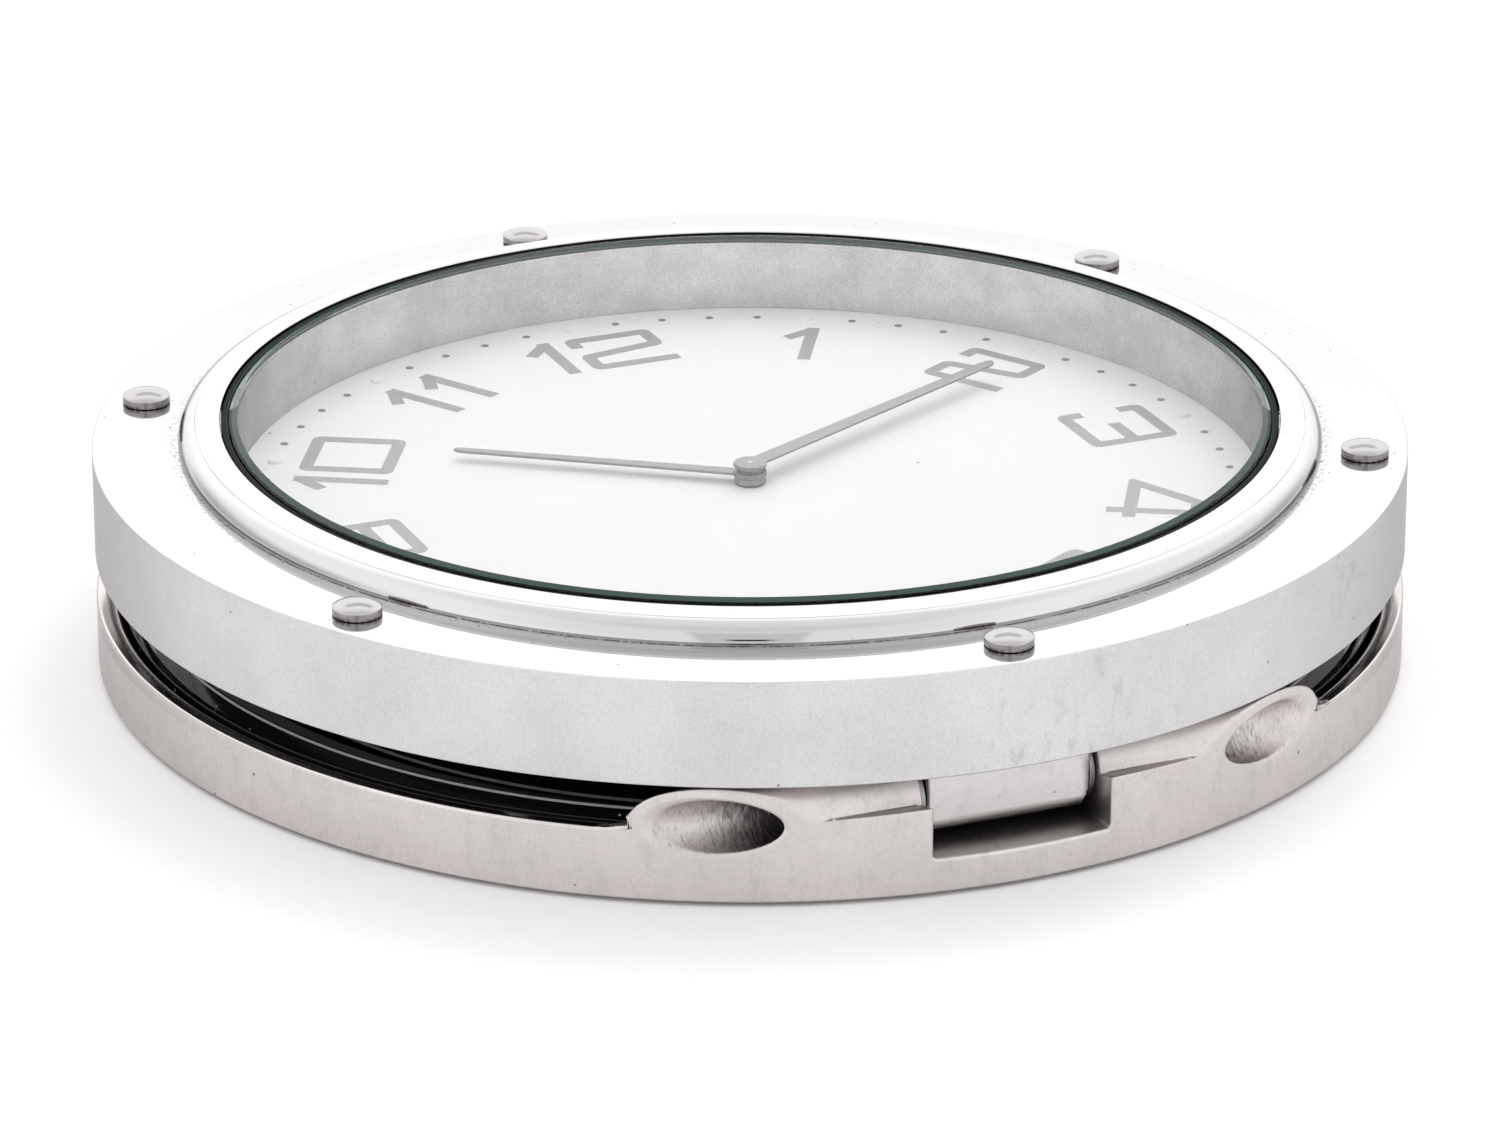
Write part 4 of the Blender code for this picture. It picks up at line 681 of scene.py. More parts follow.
ring = spun("case_ring_fine", [
    (case_bore, case_bottom), (seal_groove_inner, case_bottom), (seal_groove_inner, seal_groove_top),
    (seal_groove_outer, seal_groove_top), (seal_groove_outer, case_bottom),
    (case_radius, case_bottom, 0.12 * MM), (case_radius, case_top, 0.10 * MM),
    (trench_outer, case_top), (trench_outer, trench_floor), (trench_inner, trench_floor),
    (trench_inner, case_top), (case_bore, case_top)], 360)
ring_steel = flange_steel("ring_steel", (0.725, 0.711, 0.715))
fit(ring, "case", ring_steel, "satin_steel", "case_ring")

# Hinge tongue. A milled steel block under the ring, held by two tenons, whose round end turns
# on the pin in the notch of the dish. Its face is satin, with polished edges.
tongue_low, tongue_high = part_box("hinge_tongue")
tongue_half = tongue_high.x
knuckle_radius = pin_height - tongue_low.z
tongue_top = case_bottom - 0.03 * MM
tongue_edge = 0.22 * MM
knuckle_round = 1.15 * MM
tenon_radius, tenon_place = 0.9 * MM, 3.5 * MM


def tongue_shape(x, y, z):
    """Distance from the surface of the tongue."""
    from_pin = np.hypot(y - pin_y, z - pin_height)
    wide, low = np.abs(y - pin_y) - knuckle_radius, pin_height - knuckle_radius - z
    body = meet(meet(wide, low, knuckle_round), np.abs(x) - tongue_half, tongue_edge)
    body = np.maximum(meet(body, z - tongue_top, 0.05 * MM), pin_radius + 0.04 * MM - from_pin)
    tenon = np.hypot(np.abs(x) - tenon_place, y - pin_y) - tenon_radius
    return np.minimum(body, np.maximum(tenon, np.maximum(z - tongue_high.z, tongue_top - MM - z)))


def tongue_finish(name, tone):
    """Ground steel, scuffed along the hinge's axis and specked with dried polish."""
    material, place = blank(name)
    x, y, z = place.parts()
    lines = place.vector(x * 600, y * 5000, z * 5000).noise(1.0, 3.0)
    patches = place.noise(800, 5.0, 0.7).between(0.45, 0.7)
    grains = place.specks(2200, 0.22, 0.05)
    shade = lines * 0.3 + patches * 0.45
    return surface(material, (grains * 0.6).tint(shade.fade(tone, 0.78), (0.12, 0.11, 0.11)),
                   1.0 - grains * 0.5, lines * 0.08 + patches * 0.12 + 0.13,
                   (lines * 0.3 + patches * 0.2).bump(0.03 * MM, 0.6))


tongue = milled("hinge_tongue", tongue_shape, 0.14 * MM, 0.5)
tongue_steel = tongue_finish("tongue_steel", (0.64, 0.62, 0.617))
fit(tongue, "case", tongue_steel, "satin_steel", "hinge_tongue")

# Rear cover. A cup moulded from black plastic, with a lip that four screws hold against the
# ring over a rubber seal. It has a well for the battery hatch and one for the setting knob.
cover_low, cover_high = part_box("rear_cover")
cover_bottom, cover_rim_top = cover_low.z, cover_high.z
cover_inside = cover_bottom + 1.0 * MM
cover_radius, cover_lip_radius = 37.0 * MM, 40.9 * MM
cover_lip_bottom, cover_lip_top = 7.23 * MM, 8.13 * MM
cover_wall = 1.9 * MM
cover_back = pin_y + knuckle_radius + 0.15 * MM
hatch_low, hatch_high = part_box("battery_hatch")
hatch_at = ((hatch_low.x + hatch_high.x) / 2, (hatch_low.y + hatch_high.y) / 2)
hatch_radius = (hatch_high.x - hatch_low.x) / 2
hatch_step = cover_bottom + 0.5 * MM
plug_radius = hatch_radius - 0.9 * MM
knob_low, knob_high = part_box("setting_knob")
knob_at = (7.455 * MM, -7.913 * MM)
knob_radius, knob_thickness = 4.0 * MM, 0.45 * MM
cover_neck, cover_inner = case_bore - 0.1 * MM, cover_radius - cover_wall
cover = spun("rear_cover_fine", [
    (0, cover_bottom), (cover_radius + 0.07 * MM, cover_bottom, 0.03 * MM),
    (cover_radius, cover_bottom + 0.20 * MM), (cover_radius, cover_lip_bottom, 0.2 * MM),
    (cover_lip_radius, cover_lip_bottom, 0.15 * MM), (cover_lip_radius, cover_lip_top, 0.1 * MM),
    (cover_neck, cover_lip_top), (cover_neck, cover_rim_top, 0.1 * MM),
    (cover_inner, cover_rim_top, 0.1 * MM), (cover_inner, cover_inside, 0.3 * MM),
    (0, cover_inside)], 192)


def well(name, radius, floor, hole, steps, at):
    """Cutter for a round well in the cover's underside, with a hole through its floor."""
    return spun(name, [(0, cover_bottom - MM), (radius, cover_bottom - MM), (radius, floor), (hole, floor),
                       (hole, cover_inside + MM), (0, cover_inside + MM)], steps, at)


hatch_well = well("hatch_well", hatch_radius + 0.1 * MM, hatch_step, plug_radius + 0.2 * MM, 96, hatch_at)
knob_well = well("knob_well", knob_radius + 0.2 * MM, cover_bottom + 0.6 * MM, 0.9 * MM, 64, knob_at)
# The cover has a painted highlight along its bottom edge.
cover_black = glossy_plastic("cover_black", (0.006, 0.006, 0.007), 0.07,
                             (cover_radius, cover_bottom, cover_bottom + 0.20 * MM))
bored(sliced(cover, cover_back), hatch_well, knob_well)
fit(cover, "case", cover_black, "black_plastic", "rear_cover")

hatch = spun("battery_hatch_fine", [
    (0, cover_bottom), (hatch_radius, cover_bottom, 0.1 * MM), (hatch_radius, hatch_step - 0.04 * MM),
    (plug_radius, hatch_step - 0.04 * MM), (plug_radius, hatch_high.z, 0.1 * MM),
    (0, hatch_high.z)], 96, hatch_at)
slot_half, slot_width = 4.0 * MM, 0.6 * MM
slot = extruded("slot", [(-slot_half, -slot_width), (slot_half, -slot_width), (slot_half, slot_width),
                         (-slot_half, slot_width)], cover_bottom - MM, cover_bottom + 0.3 * MM, hatch_at)
nowhere = (MM, -MM, -MM)
hatch_black = glossy_plastic("hatch_black", (0.016, 0.016, 0.017), 0.34, nowhere)
fit(bored(hatch, slot), "case", hatch_black, "black_plastic", "battery_hatch")

seal_low, seal_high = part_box("cover_seal")
seal = spun("cover_seal_fine", [
    (seal_high.x - 0.7 * MM, seal_low.z, 0.15 * MM), (seal_high.x, seal_low.z, 0.15 * MM),
    (seal_high.x, seal_high.z, 0.2 * MM), (seal_high.x - 0.7 * MM, seal_high.z, 0.2 * MM)], 144)
fit(seal, "case", black_rubber, "black_rubber", "cover_seal")
cover_screw_circle, cover_head, cover_shank = 39.4 * MM, 1.3 * MM, 0.7 * MM
head_top = cover_lip_bottom - 0.04 * MM
for i in range(4):
    name = f"cover_screw_{i + 1}"
    low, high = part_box(name)
    spot = on_circle(cover_screw_circle, 45 + 90 * i)
    screw = spun(name + "_fine", [
        (0, low.z), (cover_head, low.z, 0.2 * MM), (cover_head, head_top), (cover_shank, head_top),
        (cover_shank, high.z, 0.1 * MM), (0, high.z)], 48, spot)
    bored(screw, cross_recess(spot, 0.8 * MM, low.z - MM, low.z + 0.35 * MM, i))
    fit(screw, "case", pin_steel, "pin_steel", name)

# Setting knob. A flat black knob with sixteen soft ribs, sunk in its well, on a stem that
# runs up through the movement to a small brass wheel.
rib_depth = 0.20 * MM


def softened(piece, width):
    """Break the square edges of a piece."""
    edge = piece.modifiers.new("edges", "BEVEL")
    edge.width, edge.segments, edge.limit_method = width, 2, "ANGLE"
    edge.angle_limit = math.radians(60)
    return piece


rim = [knob_radius - rib_depth * (1 - abs(math.cos(8 * math.radians(2.5 * i)))) for i in range(144)]
outline = [on_circle(radius, 2.5 * i) for i, radius in enumerate(rim)]
knob = extruded("setting_knob_fine", outline, knob_low.z, knob_low.z + knob_thickness, knob_at)
fit(softened(knob, 0.08 * MM), "setting_group", hatch_black, "black_plastic")
stem_foot, stem_shoulder = knob_low.z + knob_thickness / 2, 8.62 * MM
stem_radius, stem_tip = 0.8 * MM, 0.5 * MM
knob_stem = spun("setting_stem", [
    (0, stem_foot), (stem_radius, stem_foot), (stem_radius, stem_shoulder, 0.05 * MM),
    (stem_tip, stem_shoulder), (stem_tip, knob_high.z, 0.05 * MM), (0, knob_high.z)], 48, knob_at)
fit(knob_stem, "setting_group", hatch_black, "black_plastic", "setting_knob")

# Movement. A small quartz movement of moulded grey plates, brass wheels, a soft iron stator
# with a copper coil, a circuit board and a button cell, hung in a plastic ring by three
# screws. It is closed in between the dial and the rear cover.


def moulded_plastic(name, tone, dull):
    """Plain moulded plastic with a spark-eroded grain."""
    material, place = blank(name)
    grain = place.noise(6000, 2.0)
    clouds = place.noise(300, 3.0)
    return surface(material, clouds.fade(tone, 0.8), 0.0, grain * 0.1 + dull, grain.bump(0.006 * MM, 0.5))


def stamped_metal(name, tone, dull):
    """Thin stamped or turned metal with rolling marks along one way."""
    material, place = blank(name)
    x, y, z = place.parts()
    lines = place.vector(x * 12000, y * 400, z * 4000).noise(1.0, 2.0)
    stain = place.noise(700, 4.0)
    return surface(material, (stain * 0.5).fade(tone, 0.7), 1.0, lines * 0.1 + stain * 0.08 + dull,
                   lines.bump(0.002 * MM, 0.5))


def wound_wire(name, tone):
    """Fine enamelled wire in close turns, which cross the coil's axis."""
    material, place = blank(name)
    _, y, _ = place.parts()
    turns = (y * 2 * math.pi / (0.08 * MM)).math("SINE")
    return surface(material, (0.5 - turns * 0.5).fade(tone, 0.4), 1.0, turns * 0.05 + 0.35,
                   turns.bump(0.02 * MM, 0.8))


def board_lacquer(name, tone):
    """Green lacquer over copper tracks."""
    material, place = blank(name)
    x, y, _ = place.parts()
    tracks = (x * 4000).math("SINE") * (y * 3000).math("COSINE")
    return surface(material, tracks.between(0.3, 0.4).fade(tone, 1.5), 0.0, place.noise(900) * 0.1 + 0.3,
                   tracks.bump(0.01 * MM, 0.5))


grey_plastic = moulded_plastic("movement_grey", (0.35, 0.36, 0.37), 0.45)
wheel_brass = stamped_metal("wheel_brass", (0.72, 0.53, 0.22), 0.22)
soft_iron = stamped_metal("stator_iron", (0.42, 0.42, 0.43), 0.32)
wear(grey_plastic, "movement_holder", "main_plate", "movement_bridge")
wear(wheel_brass, "centre_wheel", "cannon_pinion", "hour_wheel", "minute_wheel", "intermediate_wheel",
     "setting_wheel", "contact_cap", "contact_side")
wear(soft_iron, "stator", "coil_core")
wear(stamped_metal("cell_can", (0.72, 0.72, 0.70), 0.18), "button_cell", "quartz_can")
wear(stamped_metal("magnet_grey", (0.16, 0.16, 0.17), 0.38), "rotor")
wear(wound_wire("coil_copper", (0.66, 0.27, 0.11)), "coil")
wear(board_lacquer("board_green", (0.02, 0.14, 0.07)), "circuit_board")
wear(moulded_plastic("chip_black", (0.012, 0.012, 0.013), 0.4), "driver_chip")
wear(pin_steel, "movement_screw_1", "movement_screw_2", "movement_screw_3", "minute_wheel_post")

# Dial. A thin disc painted matt white. The numerals are printed in silver grey in a wide
# square face with one weight of stroke, tops outward, inside a ring of sixty small dots.
dial_low, dial_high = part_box("dial")
dial_top = dial_high.z
dial_hole = 1.0 * MM
numeral_circle = 28.0 * MM
numeral_half = 2.84 * MM
stroke = 0.92 * MM
print_height = 0.02 * MM
dot_circle, dot_radius = 33.3 * MM, 0.29 * MM
stud_circle, stud_radius, stud_height = 33.1 * MM, 0.60 * MM, 0.20 * MM


def dial_paint(name):
    """Matt white paint with the faintest orange peel."""
    material, place = blank(name)
    peel = place.noise(1500, 3.0)
    clouds = place.noise(60, 3.0)
    grains = place.specks(330, 0.05, 0.04)
    paint = grains.tint(clouds.tint((0.95, 0.95, 0.95), (0.91, 0.91, 0.915)),
                        (0.06, 0.06, 0.06))
    return surface(material, paint, 0.0, peel * 0.1 + 0.5, peel.bump(0.004 * MM, 0.3))


def numeral_ink(name, tone):
    """Silver grey ink, thin and a little blotchy, with a painted highlight that makes it lighter towards 6
    o'clock.
    """
    material, place = blank(name)
    blotch = place.noise(2600, 4.0, 0.7)
    _, y, _ = place.parts()
    # Painted highlight: the ink is lighter towards 6 o'clock, standing for the sheen that the lower
    # numerals and dots catch.
    painted_highlight = y.below(-20 * MM, 24 * MM)
    return surface(material, (blotch.between(0.3, 0.7) * 0.3 + painted_highlight * 0.8).fade(tone, 2.2),
                   blotch * 0.2 + 0.5, blotch * 0.2 + 0.4, blotch.bump(0.01 * MM, 0.5))


def ribbon(path, closed):
    """Pairs of points left and right of a path of straight strokes with rounded outer corners."""
    half, outer = stroke / 2, stroke * 0.75
    count = len(path)
    pairs = []
    for i, point in enumerate(path):
        here = Vector(point)
        into = (here - Vector(path[i - 1])).normalized() if closed or i > 0 else None
        onto = (Vector(path[(i + 1) % count]) - here).normalized() if closed or i < count - 1 else None
        if into is None or onto is None:
            along = into or onto
            left = Vector((-along.y, along.x)) * half
            pairs.append((here + left, here - left))
            continue
        turn = math.atan2(into.x * onto.y - into.y * onto.x, into.dot(onto))
        left_in, left_out = Vector((-into.y, into.x)), Vector((-onto.y, onto.x))
        mitre = (left_in + left_out) / (1 + left_in.dot(left_out)) * half
        side = 1 if turn > 0 else -1
        inner, corner = here + mitre * side, here - mitre * side
        radius = outer
        if abs(turn) > math.radians(100):
            radius = min(outer, 1.2 * half / math.tan(abs(turn) / 2))
        back = radius * math.tan(abs(turn) / 2)
        centre = corner - into * back + left_in * side * radius
        steps = 8
        for step in range(steps + 1):
            facing = Matrix.Rotation(turn * step / steps, 2) @ (-left_in * side)
            edge = centre + facing * radius
            pairs.append((inner, edge) if side > 0 else (edge, inner))
    return pairs


def printed(name, strokes, turn):
    """Flat raised print of strokes, on the numeral circle."""
    shape = bmesh.new()
    for layer, path in enumerate(strokes):
        closed = path[0] == path[-1]
        pairs = ribbon(path[:-1] if closed else path, closed)
        low, high = [], []
        for i, pair in enumerate(pairs):
            rise = print_height + (layer + (0 if closed else i / len(pairs))) * 0.006 * MM
            low.append([shape.verts.new((p.x, p.y + numeral_circle, dial_top)) for p in pair])
            high.append([shape.verts.new((p.x, p.y + numeral_circle, dial_top + rise)) for p in pair])
        last = len(pairs) if closed else len(pairs) - 1
        for i in range(last):
            k = (i + 1) % len(pairs)
            shape.faces.new((high[i][0], high[i][1], high[k][1], high[k][0]))
            shape.faces.new((low[i][1], low[i][0], low[k][0], low[k][1]))
            for side in (0, 1):
                shape.faces.new((low[i][side], high[i][side], high[k][side], low[k][side]))
        if not closed:
            for i in (0, -1):
                shape.faces.new((low[i][0], high[i][0], high[i][1], low[i][1]))
    bmesh.ops.remove_doubles(shape, verts=shape.verts, dist=0.001 * MM)
    bmesh.ops.recalc_face_normals(shape, faces=shape.faces)
    return formed(name, shape, turn=turn)


def figure(digit, h, foot):
    """Strokes of a digit: h is half its height between stroke centres, foot its half height.

    A closed stroke comes back to its first point.
    """
    hook, bar, tail = h * 0.5, h * 0.12, h * 0.2
    return {
        "0": [[(-h, -h), (h, -h), (h, h), (-h, h), (-h, -h)]],
        "1": [[(-1.70 * MM, 1.05 * MM), (-0.05 * MM, h)], [(0.0, -foot), (0.0, foot)]],
        "2": [[(-h, hook), (-h, h), (h, h), (h, bar), (-h, -tail), (-h, -h), (foot, -h)]],
        "3": [[(-h, hook), (-h, h), (h, h), (h, -h), (-h, -h), (-h, -hook)], [(-tail, 0.0), (h, 0.0)]],
        "4": [[(h * 0.72, -foot), (h * 0.72, h), (h * 0.02, h), (-h * 1.12, -h * 0.6), (foot, -h * 0.6)]],
        "5": [[(foot, h), (-h, h), (-h, tail), (h, tail), (h, -h), (-h, -h), (-h, -hook)]],
        "6": [[(h, hook), (h, h), (-h, h), (-h, -h), (h, -h), (h, tail), (-h, tail)]],
        "7": [[(-foot, h), (h, h), (-tail, -foot)]],
        "8": [[(-h, 0.0), (h, 0.0), (h, h), (-h, h), (-h, 0.0)],
              [(-h, -h), (h, -h), (h, 0.0), (-h, 0.0), (-h, -h)]],
        "9": [[(-h, -hook), (-h, -h), (h, -h), (h, h), (-h, h), (-h, -tail), (h, -tail)]],
    }[digit]


dial_white = dial_paint("dial_white_paint")
plate = spun("dial_fine", [(dial_hole, dial_low.z), (dial_high.x, dial_low.z),
                           (dial_high.x, dial_top, 0.05 * MM), (dial_hole, dial_top, 0.03 * MM)], 240)
fit(plate, "case", dial_white, "dial_white", "dial")
ink = numeral_ink("numeral_ink", (0.29, 0.29, 0.295))
numeral_foot = numeral_half + stroke / 2
digit_gap = 1.1 * MM
for hour in range(1, 13):
    digits = str(hour)
    spans = [(-2.2 * MM, stroke / 2) if digit == "1" else (-numeral_foot, numeral_foot)
             for digit in digits]
    width = sum(high - low for low, high in spans) + digit_gap * (len(digits) - 1)
    strokes, left = [], -width / 2
    for digit, (low, high) in zip(digits, spans):
        for path in figure(digit, numeral_half, numeral_foot):
            strokes.append([(x + left - low, y) for x, y in path])
        left += high - low + digit_gap
    fit(printed(f"numeral_{hour:02d}", strokes, -math.radians(30 * hour)), "case", ink, "hand_metal")


def ring_of(name, circle, radius, height, round_edge, places, sides):
    """Small round pieces set round the dial, as one mesh."""
    shape = bmesh.new()
    for place in places:
        spot = (circle * math.sin(place), circle * math.cos(place), dial_top + height / 2)
        bmesh.ops.create_cone(shape, cap_ends=True, segments=sides, radius1=radius,
                              radius2=radius - round_edge, depth=height, matrix=Matrix.Translation(spot))
    return smoothed(formed(name, shape), 30)


minutes = [math.radians(6 * i) for i in range(60) if i % 5]
dots = ring_of("minute_dots", dot_circle, dot_radius, print_height, 0.01 * MM, minutes, 20)
fit(dots, "case", numeral_ink("dot_ink", (0.12, 0.12, 0.125)), "hand_metal")
hours = [math.radians(30 * i) for i in range(12)]
studs = ring_of("hour_studs", stud_circle, stud_radius, stud_height, 0.10 * MM, hours, 32)
fit(studs, "case", dial_white, "dial_white")

# Hands. Stamped steel blades with a fine satin finish, tapered and thin, on turned collets
# that push onto the hour wheel's tube and the centre arbor.


def blade(name, length, width, tip, low, high, turn):
    """Straight tapered blade along 12 o'clock with a round point, its upper edges broken."""
    shoulder = length - tip
    point = []
    for i in range(9):
        angle = math.radians(30 + 15 * i)
        point.append((math.cos(angle) * tip / 2, shoulder + tip * math.sin(angle)))
    outline = [(width / 2, 0.0), (tip / 2, shoulder)] + point + [(-tip / 2, shoulder), (-width / 2, 0.0)]
    return softened(extruded(name, outline, low, high, turn=turn), 0.05 * MM)


def hand_metal(name, tone):
    """Satin metal brushed along the blade."""
    material, place = blank(name)
    x, y, z = place.parts()
    brush = place.vector(x * 9000, y * 500, z * 9000).noise(1.0, 3.0)
    return surface(material, (brush * 0.5).fade(tone, 0.6), 1.0, brush * 0.15 + 0.30,
                   brush.bump(0.002 * MM, 0.5))


minute_turn = -math.radians(6 * 10.6)
hour_turn = -math.radians(30 * (10 + 10.6 / 60))
hour_blade, minute_blade, blade_thickness = 11.42 * MM, 12.07 * MM, 0.20 * MM
hub, neck = 1.15 * MM, 1.0 * MM
satin_hand = hand_metal("satin_hand", (0.27, 0.27, 0.275))
collet_bore, collet_foot = 0.91 * MM, dial_top + 0.15 * MM
collet_top = hour_blade + blade_thickness + 0.1 * MM
hour_collet = spun("hour_collet", [
    (collet_bore, collet_foot), (hub, collet_foot, 0.03 * MM), (neck, hour_blade - 0.1 * MM, 0.05 * MM),
    (hub, hour_blade, 0.04 * MM), (hub, collet_top, 0.05 * MM), (collet_bore, collet_top)], 64)
fit(hour_collet, "hour_group", satin_hand, "hand_metal")
hour_hand = blade("hour_hand_fine", 21.0 * MM, 1.05 * MM, 0.65 * MM, hour_blade,
                  hour_blade + blade_thickness, hour_turn)
fit(hour_hand, "hour_group", satin_hand, "hand_metal", "hour_hand")
boss_top = minute_blade + blade_thickness + 0.04 * MM
minute_boss = spun("minute_boss", [
    (0, minute_blade - 0.1 * MM), (neck, minute_blade - 0.1 * MM), (neck, minute_blade),
    (hub, minute_blade, 0.04 * MM), (hub, boss_top, 0.06 * MM), (0, boss_top)], 64)
fit(minute_boss, "minute_group", satin_hand, "hand_metal")
minute_hand = blade("minute_hand_fine", 26.6 * MM, 1.30 * MM, 0.85 * MM, minute_blade,
                    minute_blade + blade_thickness, minute_turn)
fit(minute_hand, "minute_group", satin_hand, "hand_metal", "minute_hand")
arbor_low, arbor_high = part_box("centre_arbor")
arbor = spun("centre_arbor_fine", [
    (0, arbor_low.z), (0.5 * MM, arbor_low.z, 0.05 * MM), (0.5 * MM, minute_blade),
    (0.2 * MM, minute_blade), (0.2 * MM, arbor_high.z, 0.06 * MM), (0, arbor_high.z)], 48)
fit(arbor, "minute_group", pin_steel, "pin_steel", "centre_arbor")

# Inner wall. A plain grey metal ring between the dial and the glass, satin inside, with the
# cloudy look of bead-blasted aluminium.
wall_low, wall_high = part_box("rehaut_ring")
wall_inner = 35.30 * MM


def blasted_metal(name, tone):
    """Bead-blasted metal: an even grain with soft clouds and a few darker smears."""
    material, place = blank(name)
    grain = place.noise(9000, 2.0, 0.7)
    clouds = place.noise(260, 5.0, 0.7).between(0.35, 0.7)
    shade = clouds * 0.50 + grain.between(0.3, 0.7) * 0.85
    return surface(material, shade.fade(tone, 0.66), 1.0, clouds * 0.10 + 0.28,
                   grain.bump(0.006 * MM, 0.7), Specular_Tint=(0.35, 0.35, 0.35))


inner_wall = spun("rehaut_ring_fine", [
    (wall_inner, wall_low.z, 0.05 * MM), (wall_high.x, wall_low.z), (wall_high.x, wall_high.z),
    (wall_inner, wall_high.z, 0.08 * MM)], 240)
fit(inner_wall, "case", blasted_metal("blasted_grey", (0.80, 0.79, 0.80)), "rehaut_metal", "rehaut_ring")

# Glass and its seal. A flat mineral glass with a ground bevel lies in a black rubber ring
# with a foot under the glass and a wall round it. Its cut edge looks dark green.
gasket_low, gasket_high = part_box("glass_gasket")
gasket_outer, gasket_bore = gasket_high.x, 35.72 * MM
gasket_foot_top = gasket_low.z + 0.20 * MM


def gasket_rubber(name):
    """Black rubber, which the light through the glass's edge turns dark green on the inside."""
    material, place = blank(name)
    out, _ = place.round_axis()
    grain = place.noise(4000, 3.0)
    rim = out.between(gasket_bore + 0.04 * MM, gasket_bore + 0.08 * MM)
    return surface(material, rim.tint((0.03, 0.075, 0.062), (0.008, 0.009, 0.009)), 0.0, grain * 0.2 + 0.6,
                   grain.bump(0.01 * MM, 0.5), Specular_IOR_Level=0.1)


gasket = spun("glass_gasket_fine", [
    (wall_inner, gasket_low.z, 0.04 * MM), (gasket_outer, gasket_low.z, 0.05 * MM),
    (gasket_outer, gasket_high.z, 0.10 * MM), (gasket_bore, gasket_high.z, 0.10 * MM),
    (gasket_bore, gasket_foot_top), (wall_inner, gasket_foot_top, 0.04 * MM)], 240)
fit(gasket, "case", gasket_rubber("gasket_rubber"), "black_rubber", "glass_gasket")
glass_low, glass_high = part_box("glass")
bevel_width, bevel_drop = 0.55 * MM, 0.30 * MM


def mineral_glass(name):
    """Clear glass, a shade green, with a few hairlines and grains of dust on it."""
    material, place = blank(name)
    smear = place.noise(90, 4.0).between(0.55, 0.9)
    through = place.node("BsdfRefraction", {}, {"Color": (1.0, 1.0, 1.0), "Roughness": 0.0, "IOR": 1.5})
    shine = place.node("BsdfGlossy", {}, {"Color": (1.0, 1.0, 1.0), "Roughness": smear * 0.02 + 0.01})
    share = place.node("Fresnel", {}, {"IOR": 1.5}) * 0.30
    clear = place.node("MixShader", {}, {0: share, 1: through, 2: shine})
    ground = place.node("BsdfPrincipled", {}, {"Base Color": (0.05, 0.095, 0.08), "Roughness": 0.5})
    out, z = place.round_axis()
    bevel_start = glass_high.x - bevel_width
    bevel = out.between(bevel_start, bevel_start + 0.03 * MM) * z.between(
        glass_high.z - bevel_drop * 0.75, glass_high.z - bevel_drop * 0.65)
    whole = place.node("MixShader", {}, {0: bevel * 0.6, 1: clear, 2: ground})
    place.node("OutputMaterial", {}, {"Surface": whole})
    return material


glass = spun("glass_fine", [
    (0, glass_low.z), (glass_high.x, glass_low.z, 0.04 * MM),
    (glass_high.x, glass_high.z - bevel_drop), (glass_high.x - bevel_width, glass_high.z),
    (0, glass_high.z)], 240)
fit(glass, "case", mineral_glass("mineral_glass"), "clear_glass", "glass")

# Bezel. A polished steel ring pressed into a groove of the case by its spigot. Its top slopes
# gently outward to a crisp shoulder, and its flank is rounded.
bezel_low = case_top + 0.004 * MM
bezel_inner = 36.25 * MM
bezel_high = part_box("bezel_ring")[1].z
shoulder_radius, shoulder_height = 37.93 * MM, 16.97 * MM
flank_slope = math.radians(15)
flank_length = (bezel_outer - shoulder_radius - 0.04 * MM) / math.cos(flank_slope)
flank_corner = shoulder_height - flank_length * math.sin(flank_slope)


def mirror_steel(name, tone, dull, foot, dirt_and_shade_height):
    """Polished steel with the waviness and pin prick marks of use, dirty and darkened by painted shade a
    little way up from its foot.
    """
    material, place = blank(name)
    wave = place.noise(260, 2.0)
    wipes = place.noise(1300, 4.0, 0.7).between(0.5, 0.8)
    _, _, z = place.parts()
    # Near the foot, blotchy dark that is partly dried polish and partly painted shade, and above it a
    # smooth painted shade that fades out a little higher.
    soil = z.below(foot, foot + dirt_and_shade_height) * place.noise(1500, 4.0, 0.7).between(0.35, 0.55)
    haze = z.below(foot + dirt_and_shade_height, foot + dirt_and_shade_height * 1.3) * 0.20
    pricks_dirt_and_shade = place.specks(2300, 0.15, 0.02).math("MAXIMUM", soil).math("MAXIMUM", haze)
    return surface(material, pricks_dirt_and_shade.tint(tone, (0.10, 0.08, 0.075)), 1.0 - pricks_dirt_and_shade * 0.6,
                   wipes * 0.05 + pricks_dirt_and_shade * 0.3 + dull, wave.bump(0.003 * MM, 0.25),
                   Specular_Tint=(0.8, 0.8, 0.8))


bezel = spun("bezel_ring_fine", [
    (bezel_inner, bezel_low), (spigot_inner, bezel_low), (spigot_inner, spigot_bottom),
    (spigot_outer, spigot_bottom), (spigot_outer, bezel_low), (bezel_outer, bezel_low),
    (bezel_outer, flank_corner, (flank_corner - bezel_low - 0.04 * MM, 0.99 * flank_length)),
    (shoulder_radius + 0.04 * MM, shoulder_height),
    (shoulder_radius, shoulder_height + 0.05 * MM, 0.02 * MM),
    (bezel_inner, bezel_high, 0.08 * MM)], 360)
# The bezel's foot gets a thin dark line of dried polish and painted shade.
bezel_steel = mirror_steel("bezel_steel", (0.61, 0.602, 0.60), 0.05, bezel_low, 0.09 * MM)
fit(bezel, "case", bezel_steel, "polished_steel", "bezel_ring")

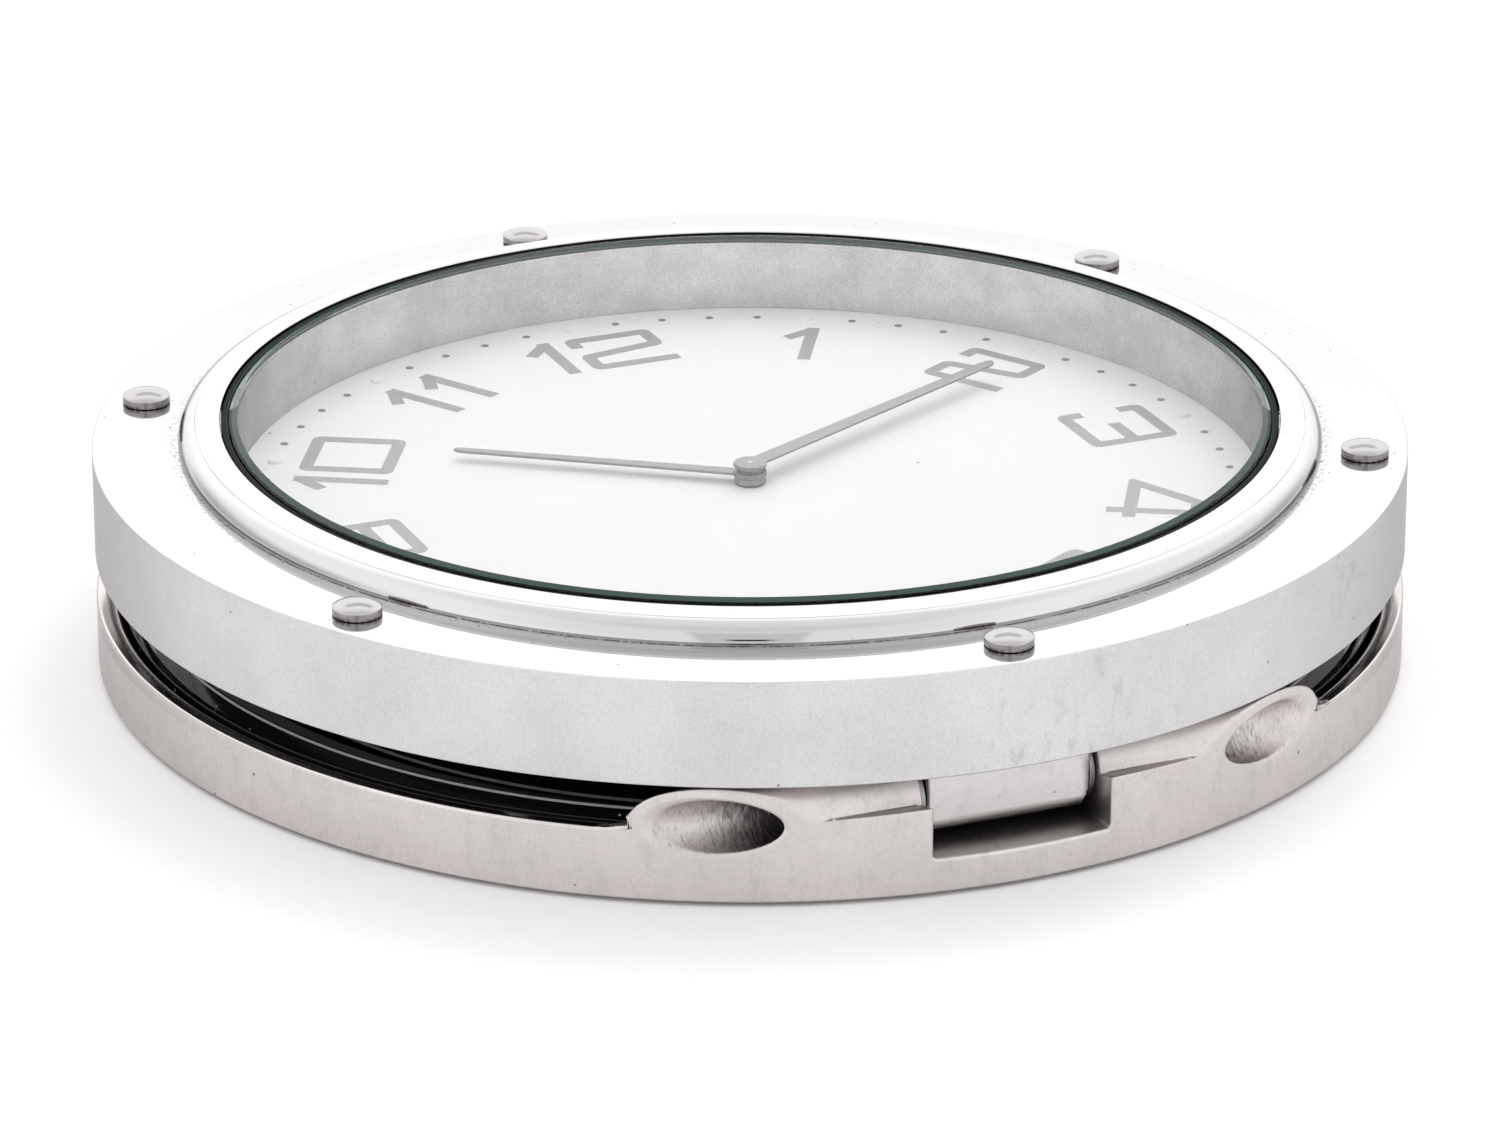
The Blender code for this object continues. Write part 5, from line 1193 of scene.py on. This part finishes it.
# Bezel screws. Six polished screws with low domed heads and no slot, standing on a thin dark
# gap over the flange.
screw_circle = (case_radius + bezel_outer) / 2
head_radius, shank_radius = 1.63 * MM, 0.8 * MM
head_low = case_top + 0.05 * MM
head_wall = head_low + 0.50 * MM
dome_corner = 1.05 * MM
# The screws' walls are darkened most of the way up to the dome: painted shade where they face the bezel,
# with some grime.
screw_polish = mirror_steel("screw_steel", (0.46, 0.448, 0.443), 0.10, head_low, 0.38 * MM)
for hour in range(2, 13, 2):
    name = f"bezel_screw_{hour:02d}"
    low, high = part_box(name)
    dome = (0.92 * math.hypot(head_radius - dome_corner, high.z - head_wall), dome_corner)
    spot = on_circle(screw_circle, 90 - 30 * hour)
    screw = spun(name + "_fine", [
        (0, low.z), (shank_radius, low.z, 0.1 * MM), (shank_radius, head_low),
        (head_radius, head_low, 0.04 * MM), (head_radius, head_wall, 0.05 * MM),
        (dome_corner, high.z, dome), (0, high.z)], 72, spot)
    fit(screw, "case", screw_polish, "polished_steel", name)

# Studio. A white sheet of paper under the clock in a white tent, brighter behind than in front,
# with one small lamp high behind on the right, and a long lens on the photograph's line of sight.


def paper(name):
    """White background paper with a faint tooth."""
    material, place = blank(name)
    tooth = place.noise(400, 3.0)
    return surface(material, tooth.tint((0.93, 0.93, 0.93), (0.90, 0.90, 0.90)), 0.0, tooth * 0.1 + 0.8)


sheet_half = 3.0
shape = bmesh.new()
bmesh.ops.create_grid(shape, x_segments=8, y_segments=8, size=sheet_half)
floor = formed("floor", shape, (0, 0, -0.02 * MM))
floor.data.materials.append(paper("white_paper"))

lamp_place = Vector((0.38, 0.34, 0.62))
lamp = bpy.data.lights.new("overhead", "AREA")
lamp.size, lamp.energy = 0.35, 1.15
hung = placed("overhead", lamp, lamp_place, (-lamp_place).to_track_quat("-Z", "Y").to_euler())
hung.visible_glossy = False

camera_azimuth, camera_elevation = math.radians(-23.1), math.radians(20.78)
front = Vector((math.sin(camera_azimuth), -math.cos(camera_azimuth), 0.0))
upright = Vector((0.0, 0.0, 1.0))
lens_side = front * math.cos(math.radians(36)) + upright * math.sin(math.radians(36))
room = bpy.data.worlds.new("white_room")
room.use_nodes = True
room.node_tree.nodes.clear()
start = Wire(room.node_tree)
way = start.node("TexCoord", {}, {}).out("Generated")
_, _, up = way.parts()
toward_lens = way.along(lens_side)
toward_light = way.along(upright * 0.5 - front * 0.866)
across = way.along(front.cross(upright)).size()
behind = way.along(-front)
before = behind.below(-0.3, -0.1)
low_sides = up.below(0.10, 0.45) * across.between(0.50, 0.80) * behind.between(-0.5, 0.1)
lens_stand = across.below(0.04, 0.10) * up.between(0.14, 0.20) * up.below(0.31, 0.345) * before
lens_opening = across.below(0.15, 0.19) * up.below(0.70, 0.85) * before
roof_seam = up.between(0.54, 0.60) * up.below(0.70, 0.76) * (
    across.below(0.20, 0.30)) * behind.between(0.0, 0.2)
light = 1.35 - up.between(0.75, 0.95) * 0.22 + toward_light.between(0.66, 0.97) * 0.42
for dark, share in ((toward_lens.between(0.55, 0.93), 0.20), (lens_opening, 0.30), (lens_stand, 0.80),
                    (low_sides, 0.65), (roof_seam, 0.70)):
    light = light - dark * share
glow = start.node("Background", {}, {"Color": (1.0, 1.0, 1.0), "Strength": light})
start.node("OutputWorld", {}, {"Surface": glow})
bpy.context.scene.world = room
bpy.context.scene.view_settings.view_transform = "Standard"

lens = bpy.data.cameras.new("camera")
lens.sensor_width, lens.lens = 36.0, 176.45
lens.clip_start, lens.clip_end = 0.01, 20.0
camera_distance = 504.22 * MM
toward_camera = front * math.cos(camera_elevation) + upright * math.sin(camera_elevation)
aim = Vector((0.0, 0.0, case_top))
rows_off_centre, focal_rows = 134.3, 7352.07
look_down = camera_elevation + math.atan(rows_off_centre / focal_rows)
bpy.context.scene.camera = placed("camera", lens, aim + toward_camera * camera_distance,
                                  (math.pi / 2 - look_down, 0, camera_azimuth))
